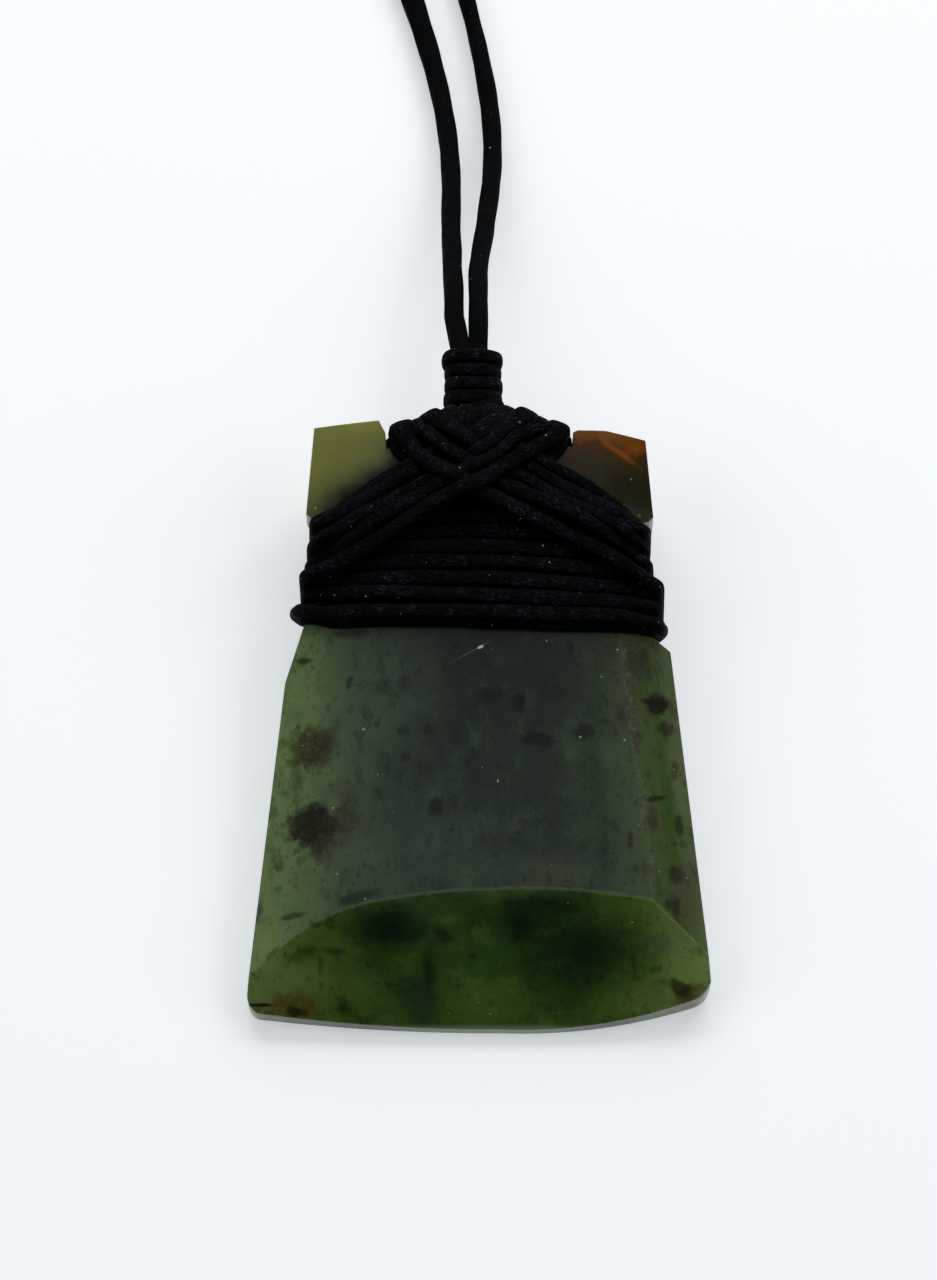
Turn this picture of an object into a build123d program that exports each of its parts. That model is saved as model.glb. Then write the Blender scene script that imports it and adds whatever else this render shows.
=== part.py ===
from build123d import *
import math
import os

# Toki adze pendant: a small adze blade of polished nephrite, lashed with waxed cord and hung on a
# loop of braided cord. It lies on its back on a surface at Z = 0. +Y runs from the cutting edge to
# the butt, +Z is up, and the origin is on the surface, under the middle of the pendant. Everything
# on the blade is worked out in the blade's own frame first: y from the cutting edge, z from the flat
# back. That frame is then tipped until the cutting edge and the cord behind the blade both touch the
# surface. Sizes are in millimetres.

# Blade
blade_length = 40.2
edge_width = 29.2
butt_width = 21.3
blade_thickness = 4.6
edge_thickness = 0.8
edge_bow = 0.6
bevel_length = 7.8
left_shoulder_width = 7.0
right_facet_width = 3.2
back_chamfer = 0.4
side_notch_depth = 1.9
butt_notch_depth = 2.0
butt_notch_crown = 1.8

# Height of the face at points across each shoulder, from the side towards the middle. Past the side
# notches the shoulders rise until the ears have nearly the full thickness.
SHOULDERS = {
    # side: rows of (inset / width of the shoulder, then height / blade_thickness up to the ears and
    # at the butt)
    "left": [(0.0, 0.48, 0.95), (0.37, 0.715, 0.975), (1.0, 0.915, 0.985)],
    "right": [(0.0, 0.61, 0.96), (1.0, 0.935, 0.985)],
}
# Where the shoulders start to rise, as a share of blade_length
ears_from = 0.856
# Places across a shoulder or the crown where a tight cord bends, as shares of their widths
BEND_STATIONS = {"left": (0.35, 0.55, 0.77, 1.0), "right": (1.0,), "crown": (0.25, 0.5, 0.75)}
# The notch in each side, from its lower end to its upper end
SIDE_NOTCHES = {
    # side: rows of (distance from the cutting edge / blade_length, depth / side_notch_depth)
    "left": [
        (0.565, 0.0),
        (0.662, 0.42),
        (0.7, 0.9),
        (0.74, 1.0),
        (0.834, 1.0),
        (0.848, 0.25),
        (0.86, 0.0),
    ],
    "right": [
        (0.612, 0.0),
        (0.63, 0.5),
        (0.66, 0.75),
        (0.76, 0.85),
        (0.822, 0.85),
        (0.838, 0.18),
        (0.848, 0.0),
    ],
}
# The ears on each side of the butt's notch, from the right side of the blade to the left
EARS = {
    # ear: rows of (x / half of butt_width, distance below the top of the left ear / butt_notch_depth)
    "right": [(1.011, 0.62), (0.77, 0.36), (0.6, 0.36), (0.57, 0.43), (0.56, 1.0)],
    "left": [(-0.56, 1.0), (-0.57, 0.43), (-0.61, 0.0), (-1.004, 0.21)],
}
# The cutting edge, in arcs of three points that share their ends, from the left corner to the right
EDGE_CURVE = [
    # x / half of edge_width, rise above the lowest point / edge_bow
    (-0.976, 2.25),
    (-0.942, 1.5),
    (-0.47, 0.42),
    (0.1, 0.0),
    (0.58, 0.78),
    (0.914, 2.8),
    (0.954, 3.42),
]
# Where the corners of the cutting edge meet the sides, in edge_bow above its lowest point
CORNER_RISE = {"left": 3.2, "right": 4.5}

# Lashing
lashing_diameter = 0.75
lashing_gap = 0.06
crossing_gap = 0.12
wrap_count = 7
wrap_pitch = 1.17
first_wrap_at = 0.64
# Where each crossing strand leaves the butt's notch and reaches the notch in the opposite side
CROSS_STRANDS = [
    # x / half of butt_width, then distance from the cutting edge / blade_length at the left and right
    (0.51, 0.7, 0.672),
    (0.39, 0.741, 0.714),
    (0.27, 0.781, 0.756),
    (0.15, 0.82, 0.797),
]

# Necklace cord and the whipping that binds its ends
necklace_diameter = 1.4
strand_gap = 0.04
neck_offset = -0.4
neck_turns = 6
neck_pitch = 0.85
neck_turn_width = 0.78
neck_turn_thickness = 0.5
neck_gap = 0.03
top_turn_share = 1.3
neck_start_gap = 0.25
seat_gap = 0.1
free_neck = 3.0
# Corners of the cord's route after it leaves the whipping, out along the left strand and back
# along the right one
NECKLACE_ROUTE = [
    # x and y from the end of the whipping, height above the surface
    (-1.4, 9.5, 3.0),
    (-1.2, 18.5, 0.9),
    (-2.9, 27.5, 0.7),
    (-6.8, 39.5, 0.7),
    (-17.0, 56.0, 0.7),
    (-37.0, 72.0, 0.7),
    (-66.0, 87.0, 0.7),
    (-98.0, 110.0, 0.7),
    (-116.0, 147.0, 0.7),
    (-114.0, 188.0, 0.7),
    (-91.0, 222.0, 0.7),
    (-54.0, 240.0, 0.7),
    (-13.0, 237.0, 0.7),
    (20.0, 214.0, 0.7),
    (38.0, 177.0, 0.7),
    (36.0, 137.0, 0.7),
    (20.0, 103.0, 0.7),
    (4.0, 77.0, 0.7),
    (-3.5, 58.0, 0.7),
    (-2.4, 39.5, 0.7),
    (0.5, 27.5, 0.7),
    (1.6, 18.5, 0.9),
    (0.55, 9.5, 3.0),
]

# Values that follow from the sizes above
cord_radius = lashing_diameter / 2
first_layer = cord_radius + lashing_gap
second_layer = first_layer + lashing_diameter + crossing_gap
strand_offset = (necklace_diameter + strand_gap) / 2
neck_height = blade_thickness / 2
lashing_end = blade_length - butt_notch_depth + butt_notch_crown + first_layer + cord_radius
neck_start = lashing_end + neck_start_gap
neck_end = neck_start + neck_turns * neck_pitch
clear = 2 * blade_thickness


def half_width(y):
    """Half of the blade's full width at a distance from the cutting edge."""
    return (edge_width + (butt_width - edge_width) * y / blade_length) / 2


def interpolate(rows, at):
    """The second column of a table of rows at a value of its first, which is 0 outside the rows."""
    for (a, low), (b, high) in zip(rows, rows[1:]):
        if a <= at <= b:
            return low + (high - low) * (at - a) / (b - a)
    return 0.0


def notched_half_width(side, y):
    """How far from the middle the side of the blade stands at y, at the bottom of its notch."""
    depth = interpolate(SIDE_NOTCHES[side], y / blade_length) * side_notch_depth
    return half_width(y) - depth


def wall_beside(side, y, reach):
    """The furthest that the blade's side stands out within reach of y."""
    return max(notched_half_width(side, y + step * reach) for step in (-1, -0.5, 0, 0.5, 1))


def notch_floor(x):
    """How far the crowned floor of the butt's notch is from the cutting edge."""
    side = EARS["right"][-1][0] * butt_width / 2
    return blade_length - butt_notch_depth + butt_notch_crown * (1 - (x / side) ** 2)


def floor_beside(x, reach):
    """The furthest that the floor of the butt's notch stands out within reach of x."""
    return max(notch_floor(x + step * reach) for step in (-1, -0.5, 0, 0.5, 1))


def face_points(y):
    """Points (x, z) across the face at y: the left shoulder, the crown's top, the right facet."""
    half = half_width(y)
    rise = max(0.0, (y / blade_length - ears_from) / (1 - ears_from))
    left = [
        (-half + inset * left_shoulder_width, (low + rise * (high - low)) * blade_thickness)
        for inset, low, high in SHOULDERS["left"]
    ]
    right = [
        (half - inset * right_facet_width, (low + rise * (high - low)) * blade_thickness)
        for inset, low, high in reversed(SHOULDERS["right"])
    ]
    top = ((left[-1][0] + right[0][0]) / 2, blade_thickness)
    return left, top, right


def arc_height(x, a, b, c):
    """The height at x of the arc through three points (x, z)."""
    (ax, az), (bx, bz), (cx, cz) = a, b, c
    d = 2 * (ax * (bz - cz) + bx * (cz - az) + cx * (az - bz))
    a2, b2, c2 = ax**2 + az**2, bx**2 + bz**2, cx**2 + cz**2
    x0 = (a2 * (bz - cz) + b2 * (cz - az) + c2 * (az - bz)) / d
    z0 = (a2 * (cx - bx) + b2 * (ax - cx) + c2 * (bx - ax)) / d
    radius = math.hypot(ax - x0, az - z0)
    return z0 + math.sqrt(radius**2 - (x - x0) ** 2)


def face_height(x, y):
    """The height of the blade's face above its back."""
    left, top, right = face_points(y)
    if x < left[-1][0]:
        return arc_height(max(x, left[0][0]), *left)
    if x > right[0][0]:
        return interpolate(right, min(x, right[-1][0]))
    return arc_height(x, left[-1], top, right[0])


def upright(y):
    """The plane across the blade at y, whose own x and y are the blade's x and z."""
    return Plane(origin=(0, y, 0), x_dir=(1, 0, 0), z_dir=(0, -1, 0))


def cross_section(y):
    """The blade's section at y, standing out past its sides and its back, which are cut later."""
    left, top, right = face_points(y)
    inner = half_width(y) - 2 * back_chamfer
    outer = half_width(y) + 2 * back_chamfer
    below = Polyline(
        right[0],
        right[1],
        (outer, right[1][1]),
        (outer, 3 * back_chamfer),
        (inner, -back_chamfer),
        (-inner, -back_chamfer),
        (-outer, 3 * back_chamfer),
        (-outer, left[0][1]),
        left[0],
    )
    crown = ThreePointArc(left[-1], top, right[0])
    return upright(y) * make_face([ThreePointArc(*left), crown, *below.edges()])


def side_points(side, sign):
    """Corners of one side's outline, from the cutting edge to the butt."""
    return [
        (sign * (half_width(at * blade_length) - depth * side_notch_depth), at * blade_length)
        for at, depth in SIDE_NOTCHES[side]
    ]


def blade_outline():
    """The blade seen from above, as a flat face."""
    rise = {side: share * edge_bow for side, share in CORNER_RISE.items()}
    edge = [(x * edge_width / 2, share * edge_bow) for x, share in EDGE_CURVE]
    edge = [
        (-half_width(rise["left"]), rise["left"]),
        *edge,
        (half_width(rise["right"]), rise["right"]),
    ]
    arcs = [ThreePointArc(*edge[k : k + 3]) for k in range(0, len(edge) - 2, 2)]
    ears = {
        side: [(x * butt_width / 2, blade_length - drop * butt_notch_depth) for x, drop in rows]
        for side, rows in EARS.items()
    }
    right = [edge[-1], *side_points("right", 1), *ears["right"]]
    left = [*ears["left"], *side_points("left", -1)[::-1], edge[0]]
    floor = ThreePointArc(right[-1], (0, notch_floor(0)), left[0])
    return make_face([*arcs, *Polyline(*right).edges(), floor, *Polyline(*left).edges()])


def make_blade():
    """The adze blade: its section drawn out along its length, cut to its outline and bevelled."""
    stations = (-edge_bow, ears_from * blade_length, blade_length + edge_bow)
    block = loft([cross_section(y) for y in stations], ruled=True)
    shape = block & extrude(blade_outline(), clear)
    slope = (blade_thickness - edge_thickness) / bevel_length
    bevel = Polyline(
        (-clear, edge_thickness - slope * clear),
        (bevel_length + clear, blade_thickness + slope * clear),
        (-clear, blade_thickness + slope * clear),
        close=True,
    )
    across = Plane(origin=(-edge_width, 0, 0), x_dir=(0, 1, 0), z_dir=(1, 0, 0))
    shape -= extrude(across * make_face(bevel), 2 * edge_width)
    return shape.solid()


def outline_of(points):
    """The corners of the tightest line round points (s, z), anticlockwise."""
    found = []
    ordered = sorted(set(points))
    for way in (ordered, ordered[::-1]):
        chain = []
        for p in way:
            while len(chain) > 1 and turn_size(chain[-2], chain[-1], p) <= least_turn:
                chain.pop()
            chain.append(p)
        found += chain[:-1]
    return found


def turn_size(a, b, c):
    """The turn at b on the way from a to c in radians, positive anticlockwise."""
    first = math.atan2(b[1] - a[1], b[0] - a[0])
    second = math.atan2(c[1] - b[1], c[0] - b[0])
    return math.remainder(second - first, math.tau)


least_turn = math.radians(0.4)
bend_slack = 0.02
run_share = 0.45


class Turn:
    """One closed turn of the lashing in an upright plane, pulled tight over what is under it.

    start and end are where the cord passes the blade's edge on its way from face to back, and
    start_layer and end_layer are how far its centre is from the stone there.
    """

    def __init__(self, start, end, start_layer, end_layer, rims, under):
        self.start = start
        self.length = math.dist(start, end)
        self.way = ((end[0] - start[0]) / self.length, (end[1] - start[1]) / self.length)
        corners = {
            (0.0, rims[0] + start_layer): start_layer,
            (0.0, -start_layer): start_layer,
            (self.length, rims[1] + end_layer): end_layer,
            (self.length, -end_layer): end_layer,
        }
        self.corners = outline_of([*corners, *self.stone_points(), *self.crossings(under)])
        self.bends = [self.bend(k, corners) for k in range(len(self.corners))]

    def place(self, s):
        """The (x, y) of a distance along the turn."""
        return (self.start[0] + s * self.way[0], self.start[1] + s * self.way[1])

    def where_inset(self, sign, inset):
        """How far along the turn the blade's side is inset away, on the side that sign gives."""
        taper = (butt_width - edge_width) / 2 / blade_length
        gap = half_width(self.start[1]) - sign * self.start[0] - inset
        return gap / (sign * self.way[0] - taper * self.way[1])

    def stone_points(self):
        """Points (s, z) just clear of the face, where a tight cord bends over it."""
        left = self.where_inset(-1, left_shoulder_width)
        right = self.where_inset(1, right_facet_width)
        shoulders = [
            self.where_inset(-1, share * left_shoulder_width) for share in BEND_STATIONS["left"]
        ]
        facets = [
            self.where_inset(1, share * right_facet_width) for share in BEND_STATIONS["right"]
        ]
        crown = [left + share * (right - left) for share in BEND_STATIONS["crown"]]
        along = [s for s in (*shoulders, *crown, *facets) if 0 < s < self.length]
        return [(s, face_height(*self.place(s)) + first_layer) for s in along]

    def crossings(self, under):
        """Points (s, z) just clear of the turns beneath, above the face and below the back."""
        found = []
        for other in under:
            cross = self.way[0] * other.way[1] - self.way[1] * other.way[0]
            dx, dy = other.start[0] - self.start[0], other.start[1] - self.start[1]
            s = (dx * other.way[1] - dy * other.way[0]) / cross
            t = (dx * self.way[1] - dy * self.way[0]) / cross
            if 0 < s < self.length and 0 < t < other.length:
                lift = lashing_diameter + crossing_gap
                climb = lift / min(s, self.length - s)
                (low, low_slope), (high, high_slope) = other.heights(t)
                found.append((s, high + lift * math.hypot(1, climb, high_slope)))
                found.append((s, low - lift * math.hypot(1, climb, low_slope)))
        return found

    def heights(self, s):
        """The lowest and highest z of the cord's middle at a distance s, each with its slope."""
        found = []
        ring = self.corners + self.corners[:1]
        for (a, low), (b, high) in zip(ring, ring[1:]):
            if min(a, b) <= s <= max(a, b) and a != b:
                slope = (high - low) / (b - a)
                found.append((low + slope * (s - a), slope))
        return min(found), max(found)

    def bend(self, k, corners):
        """The radius at one corner: as tight as the edge it goes round, or as wide as its runs allow."""
        before, here, after = (self.corners[(k + step) % len(self.corners)] for step in (-1, 0, 1))
        half = turn_size(before, here, after) / 2
        room = run_share * min(math.dist(before, here), math.dist(here, after)) / math.tan(half)
        tight = corners.get(here, first_layer)
        return min(room, tight + bend_slack / (1 / math.cos(half) - 1))

    def solid(self):
        """The cord, round in section."""
        points = [(*self.place(s), z) for s, z in self.corners]
        path = FilletPolyline(*points, radius=self.bends, close=True)
        section = Plane(origin=path @ 0, z_dir=path % 0) * Circle(cord_radius)
        return sweep(section, path=path).solid()


def level_wraps():
    """The turns that go level round the blade's waist."""
    made = []
    for k in range(wrap_count):
        y = first_wrap_at * blade_length + k * wrap_pitch
        walls = [wall_beside(side, y, cord_radius) for side in ("left", "right")]
        rims = (face_height(-walls[0], y), face_height(walls[1], y))
        ends = ((-walls[0] - first_layer, y), (walls[1] + first_layer, y))
        made.append(Turn(*ends, first_layer, first_layer, rims, []))
    return made


def cross_turns(side, under):
    """The turns from one half of the butt's notch to the notch in the other side of the blade."""
    sign, far, column = (-1, "right", 2) if side == "left" else (1, "left", 1)
    made = []
    for row in CROSS_STRANDS:
        x, y = sign * row[0] * butt_width / 2, row[column] * blade_length
        slope = abs((notch_floor(x) - y) / (x + sign * notched_half_width(far, y)))
        slant = math.hypot(1, slope)
        floor = floor_beside(x, cord_radius * slant / slope)
        wall = wall_beside(far, y, cord_radius * slant)
        rims = (face_height(x, floor), face_height(-sign * wall, y))
        ends = ((x, floor + first_layer), (-sign * (wall + second_layer), y))
        made.append(Turn(*ends, first_layer, second_layer, rims, under))
    return made


def make_neck_turn(k):
    """One turn of the whipping, round both strands of the necklace cord."""
    thickness = neck_turn_thickness * (top_turn_share if k == neck_turns - 1 else 1)
    hole = necklace_diameter + 2 * neck_gap
    ring = SlotCenterToCenter(2 * strand_offset, hole + 2 * thickness)
    ring -= SlotCenterToCenter(2 * strand_offset, hole)
    middle = neck_start + (k + 0.5) * neck_pitch
    start = upright(middle + neck_turn_width / 2) * Pos(neck_offset, neck_height)
    turn = extrude(start * ring, neck_turn_width)
    return fillet(turn.edges(), 0.4 * neck_turn_thickness).solid()


def rest_tilt(turns):
    """How far the pendant tips forward, in degrees, so that its cutting edge and lashing touch down."""
    angles = []
    for turn in turns:
        for s, z in turn.corners:
            angles.append(math.atan2(cord_radius - z, turn.place(s)[1]))
    return math.degrees(max(angles))


def necklace_route(place):
    """The corners of the cord's route, and its radii, for place(x, y, z) that rests a point."""
    left, right = (neck_offset + sign * strand_offset for sign in (-1, 1))
    start = lashing_end + seat_gap
    corner = neck_end + free_neck
    end_x, end_y, _ = place(neck_offset, neck_end, neck_height)
    points = [place(left, start, neck_height), place(left, corner, neck_height)]
    points += [(end_x + x, end_y + y, z) for x, y, z in NECKLACE_ROUTE]
    points += [place(right, corner, neck_height), place(right, start, neck_height)]
    vectors = [Vector(*p) for p in points]
    radii = []
    for a, b, c in zip(vectors, vectors[1:], vectors[2:]):
        half = math.radians((b - a).get_angle(c - b)) / 2
        radii.append(run_share * min((b - a).length, (c - b).length) / math.tan(half))
    return points, radii


def make_necklace(points, radii):
    """The necklace cord as a round tube along its route."""
    path = FilletPolyline(*points, radius=radii)
    section = Plane(origin=path @ 0, z_dir=path % 0) * Circle(necklace_diameter / 2)
    return sweep(section, path=path).solid(), path.length


def main():
    wraps = level_wraps()
    left_turns = cross_turns("left", wraps)
    right_turns = cross_turns("right", wraps + left_turns)
    pieces = {"blade": make_blade()}
    groups = {"waist_wrap": wraps, "left_cross_strand": left_turns, "right_cross_strand": right_turns}
    for name, turns in groups.items():
        for k, turn in enumerate(turns, 1):
            pieces[f"{name}_{k}"] = turn.solid()
    for k in range(neck_turns):
        pieces[f"neck_turn_{k + 1}"] = make_neck_turn(k)

    tilt = rest_tilt(wraps + left_turns + right_turns)
    tipped = {name: Rot(X=tilt) * piece for name, piece in pieces.items()}
    box = Compound(list(tipped.values())).bounding_box()
    shift = Vector(-(box.min.X + box.max.X) / 2, -(box.min.Y + box.max.Y) / 2, -box.min.Z)

    def place(x, y, z):
        point = Vector(x, y, z).rotate(Axis.X, tilt) + shift
        return point.X, point.Y, point.Z

    rested = {name: Pos(*shift) * piece for name, piece in tipped.items()}
    points, radii = necklace_route(place)
    rested["necklace_cord"], length = make_necklace(points, radii)

    print(f"tilt {tilt:.2f} degrees, pendant {box.size.X:.1f} x {box.size.Y:.1f} x {box.size.Z:.1f}")
    print(f"necklace cord {length:.0f} long, radii", [round(r, 1) for r in radii])
    print("necklace route", [tuple(round(v, 2) for v in p) for p in points])
    section = math.pi * (necklace_diameter / 2) ** 2
    print(f"cord volume / (section x length) {rested['necklace_cord'].volume / (section * length):.5f}")
    os.makedirs("parts", exist_ok=True)
    for name, piece in rested.items():
        piece.label = name
        export_step(piece, f"parts/{name}.step")


main()
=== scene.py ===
import math

import bmesh
import bpy
import numpy as np
from mathutils import Matrix, Vector
from mathutils.bvhtree import BVHTree


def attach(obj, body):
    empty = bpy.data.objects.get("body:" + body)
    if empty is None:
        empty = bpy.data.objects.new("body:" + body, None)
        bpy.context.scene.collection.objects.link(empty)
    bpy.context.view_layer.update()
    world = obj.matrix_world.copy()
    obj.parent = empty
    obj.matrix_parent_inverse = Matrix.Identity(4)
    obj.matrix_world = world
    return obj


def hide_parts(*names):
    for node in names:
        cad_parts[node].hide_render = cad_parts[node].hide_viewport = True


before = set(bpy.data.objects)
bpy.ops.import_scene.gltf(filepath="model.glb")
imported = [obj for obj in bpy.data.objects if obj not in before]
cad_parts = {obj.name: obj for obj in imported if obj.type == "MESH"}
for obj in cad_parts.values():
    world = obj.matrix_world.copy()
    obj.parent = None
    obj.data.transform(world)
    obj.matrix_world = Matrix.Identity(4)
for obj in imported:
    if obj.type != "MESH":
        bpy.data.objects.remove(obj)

bl_info = {
    "name": "Toki adze pendant",
    "version": (1, 0, 0),
    "blender": (4, 5, 0),
    "location": "3D View > Sidebar > Pendant",
    "description": "Finishes a nephrite adze pendant, its lashing and its necklace cord",
    "category": "Object",
}

# The pendant's own frame has x across the blade, y from the cutting edge to the butt and z up from the
# blade's back. Lengths are in metres, and MM turns a size in millimetres into metres.
MM = 0.001
STONE_SLOT = "nephrite"
LASHING_SLOT = "lashing_cord"
BRAID_SLOT = "braided_cord"


def blade_frame():
    """The tilt of the blade's back, and where the pendant's own frame starts."""
    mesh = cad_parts["blade"].data
    back = Vector((0, 0, 0))
    for face in mesh.polygons:
        if face.normal.z < -0.99:
            back += face.normal * face.area
    tilt = math.atan2(back.y, -back.z)
    flat = np.array([v.co for v in mesh.vertices]) @ np.array(Matrix.Rotation(tilt, 3, "X"))
    return tilt, np.array([0.0, flat[:, 1].min(), flat[:, 2].min()]), flat


TILT, ORIGIN, BLADE_POINTS = blade_frame()
TURN = np.array(Matrix.Rotation(TILT, 3, "X"))
BLADE_POINTS = BLADE_POINTS - ORIGIN
BLADE_LENGTH = BLADE_POINTS[:, 1].max()
EDGE_HALF_WIDTH = np.abs(BLADE_POINTS[:, 0]).max()
BUTT_HALF_WIDTH = np.abs(BLADE_POINTS[BLADE_POINTS[:, 1] > 0.97 * BLADE_LENGTH, 0]).max()
BLADE_THICKNESS = BLADE_POINTS[:, 2].max()
# The bevel's plane: its slope, and its height in millimetres where it would meet the cutting edge
BEVEL_SLOPE = 0.487
BEVEL_START = 0.79


def placed(points):
    """Points of the pendant's own frame, where the pendant lies."""
    return (np.asarray(points) + ORIGIN) @ TURN.T


def colour(red, green, blue):
    """A colour chosen on a screen's scale of 0 to 255, as linear light, and solid."""
    steps = [c / 255 for c in (red, green, blue)]
    return (*[c / 12.92 if c <= 0.04045 else ((c + 0.055) / 1.055) ** 2.4 for c in steps], 1.0)


def length(name, description, millimetres):
    """A length that a user can change."""
    return bpy.props.FloatProperty(
        name=name, description=description, default=millimetres * MM, unit="LENGTH"
    )


class BladeSettings(bpy.types.PropertyGroup):
    rim_radius: length("Rim radius", "How far the blade's edges are rounded by polishing", 0.3)
    rim_steps: bpy.props.IntProperty(
        name="Rim steps", description="Faces round each polished edge", default=4
    )
    roughness: bpy.props.FloatProperty(
        name="Roughness", description="Roughness of the polish", default=0.2, subtype="FACTOR"
    )


class LashingSettings(bpy.types.PropertyGroup):
    width: length("Cord width", "Width of the waxed cord, pulled flat", 1.12)
    thickness: length("Cord thickness", "Thickness of the waxed cord, pulled flat", 0.66)
    ring_step: length("Ring step", "Distance between the rings of each cord's mesh", 0.13)


class NecklaceSettings(bpy.types.PropertyGroup):
    thickness: length("Braid thickness", "Thickness of the flat braid", 1.12)
    twist_length: length("Twist length", "Length in which the braid turns over once", 96)


class StageSettings(bpy.types.PropertyGroup):
    elevation: bpy.props.FloatProperty(
        name="Camera elevation",
        description="Height of the camera above the surface, as an angle",
        default=math.radians(63),
        subtype="ANGLE",
    )
    distance: length("Camera distance", "Distance from the camera to the cutting edge", 280)
    floor_colour: bpy.props.FloatVectorProperty(
        name="Surface colour",
        description="Colour of the pale surface that the pendant lies on",
        default=colour(243, 247, 251)[:3],
        subtype="COLOR",
    )
    floor_glow: bpy.props.FloatProperty(
        name="Surface glow",
        description="Light that comes through the pale surface from beneath",
        default=0.42,
    )


class Graph:
    """A node tree written as expressions: each call adds a node and gives one of its outputs."""

    def __init__(self, tree):
        self.tree = tree

    def feed(self, node, feeds):
        """Links or sets inputs of a node."""
        for key, value in feeds.items():
            if isinstance(value, bpy.types.NodeSocket):
                self.tree.links.new(value, node.inputs[key])
            else:
                node.inputs[key].default_value = value

    def place(self, kind, feeds, **settings):
        node = self.tree.nodes.new(kind)
        for key, value in settings.items():
            setattr(node, key, value)
        self.feed(node, feeds)
        return node

    def add(self, kind, feeds, out=0, **settings):
        return self.place(kind, feeds, **settings).outputs[out]

    def math(self, operation, *values):
        return self.add("ShaderNodeMath", dict(enumerate(values)), operation=operation)

    def times(self, a, b):
        return self.math("MULTIPLY", a, b)

    def plus(self, a, b):
        return self.math("ADD", a, b)

    def minus(self, a, b):
        return self.math("SUBTRACT", a, b)

    def scaled(self, value, factor, shift):
        return self.math("MULTIPLY_ADD", value, factor, shift)

    def vector(self, operation, *values):
        keys = (0, 3) if operation == "SCALE" else range(len(values))
        out = 1 if operation == "LENGTH" else 0
        return self.add("ShaderNodeVectorMath", dict(zip(keys, values)), out, operation=operation)

    def join(self, x, y, z):
        return self.add("ShaderNodeCombineXYZ", {0: x, 1: y, 2: z})

    def split(self, vector):
        return tuple(self.place("ShaderNodeSeparateXYZ", {0: vector}).outputs)

    def mix(self, share, a, b):
        return self.add("ShaderNodeMix", {0: share, 6: a, 7: b}, 2, data_type="RGBA")

    def fade(self, value, low, high, to_low=0.0, to_high=1.0):
        """to_low where value is at low or beyond, to_high at high or beyond, smooth between."""
        feeds = {0: value, 1: low, 2: high, 3: to_low, 4: to_high}
        return self.add("ShaderNodeMapRange", feeds, interpolation_type="SMOOTHSTEP")

    def noise(self, place, scale, detail, roughness):
        feeds = {"Vector": place, "Scale": scale, "Detail": detail, "Roughness": roughness}
        return self.add("ShaderNodeTexNoise", feeds)

    def ramp(self, value, stops):
        """Colours along value, from rows of (value, red, green, blue)."""
        node = self.place("ShaderNodeValToRGB", {0: value})
        points = node.color_ramp.elements
        while len(points) < len(stops):
            points.new(0.5)
        for point, (at, *shade) in zip(points, stops):
            point.position = at
            point.color = colour(*shade)
        return node.outputs[0]


def new_group(name, kind, inputs, outputs):
    """A node group with named sockets, from rows of (name, socket kind, default) and (name, socket kind).

    It gives the group's graph, the values that it is given and the node that takes its results.
    """
    tree = bpy.data.node_groups.new(name, kind)
    for label, socket, default in inputs:
        made = tree.interface.new_socket(name=label, in_out="INPUT", socket_type="NodeSocket" + socket)
        if default is not None:
            made.default_value = default
    for label, socket in outputs:
        tree.interface.new_socket(name=label, in_out="OUTPUT", socket_type="NodeSocket" + socket)
    start = tree.nodes.new("NodeGroupInput")
    end = tree.nodes.new("NodeGroupOutput")
    return Graph(tree), start.outputs, end


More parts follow.
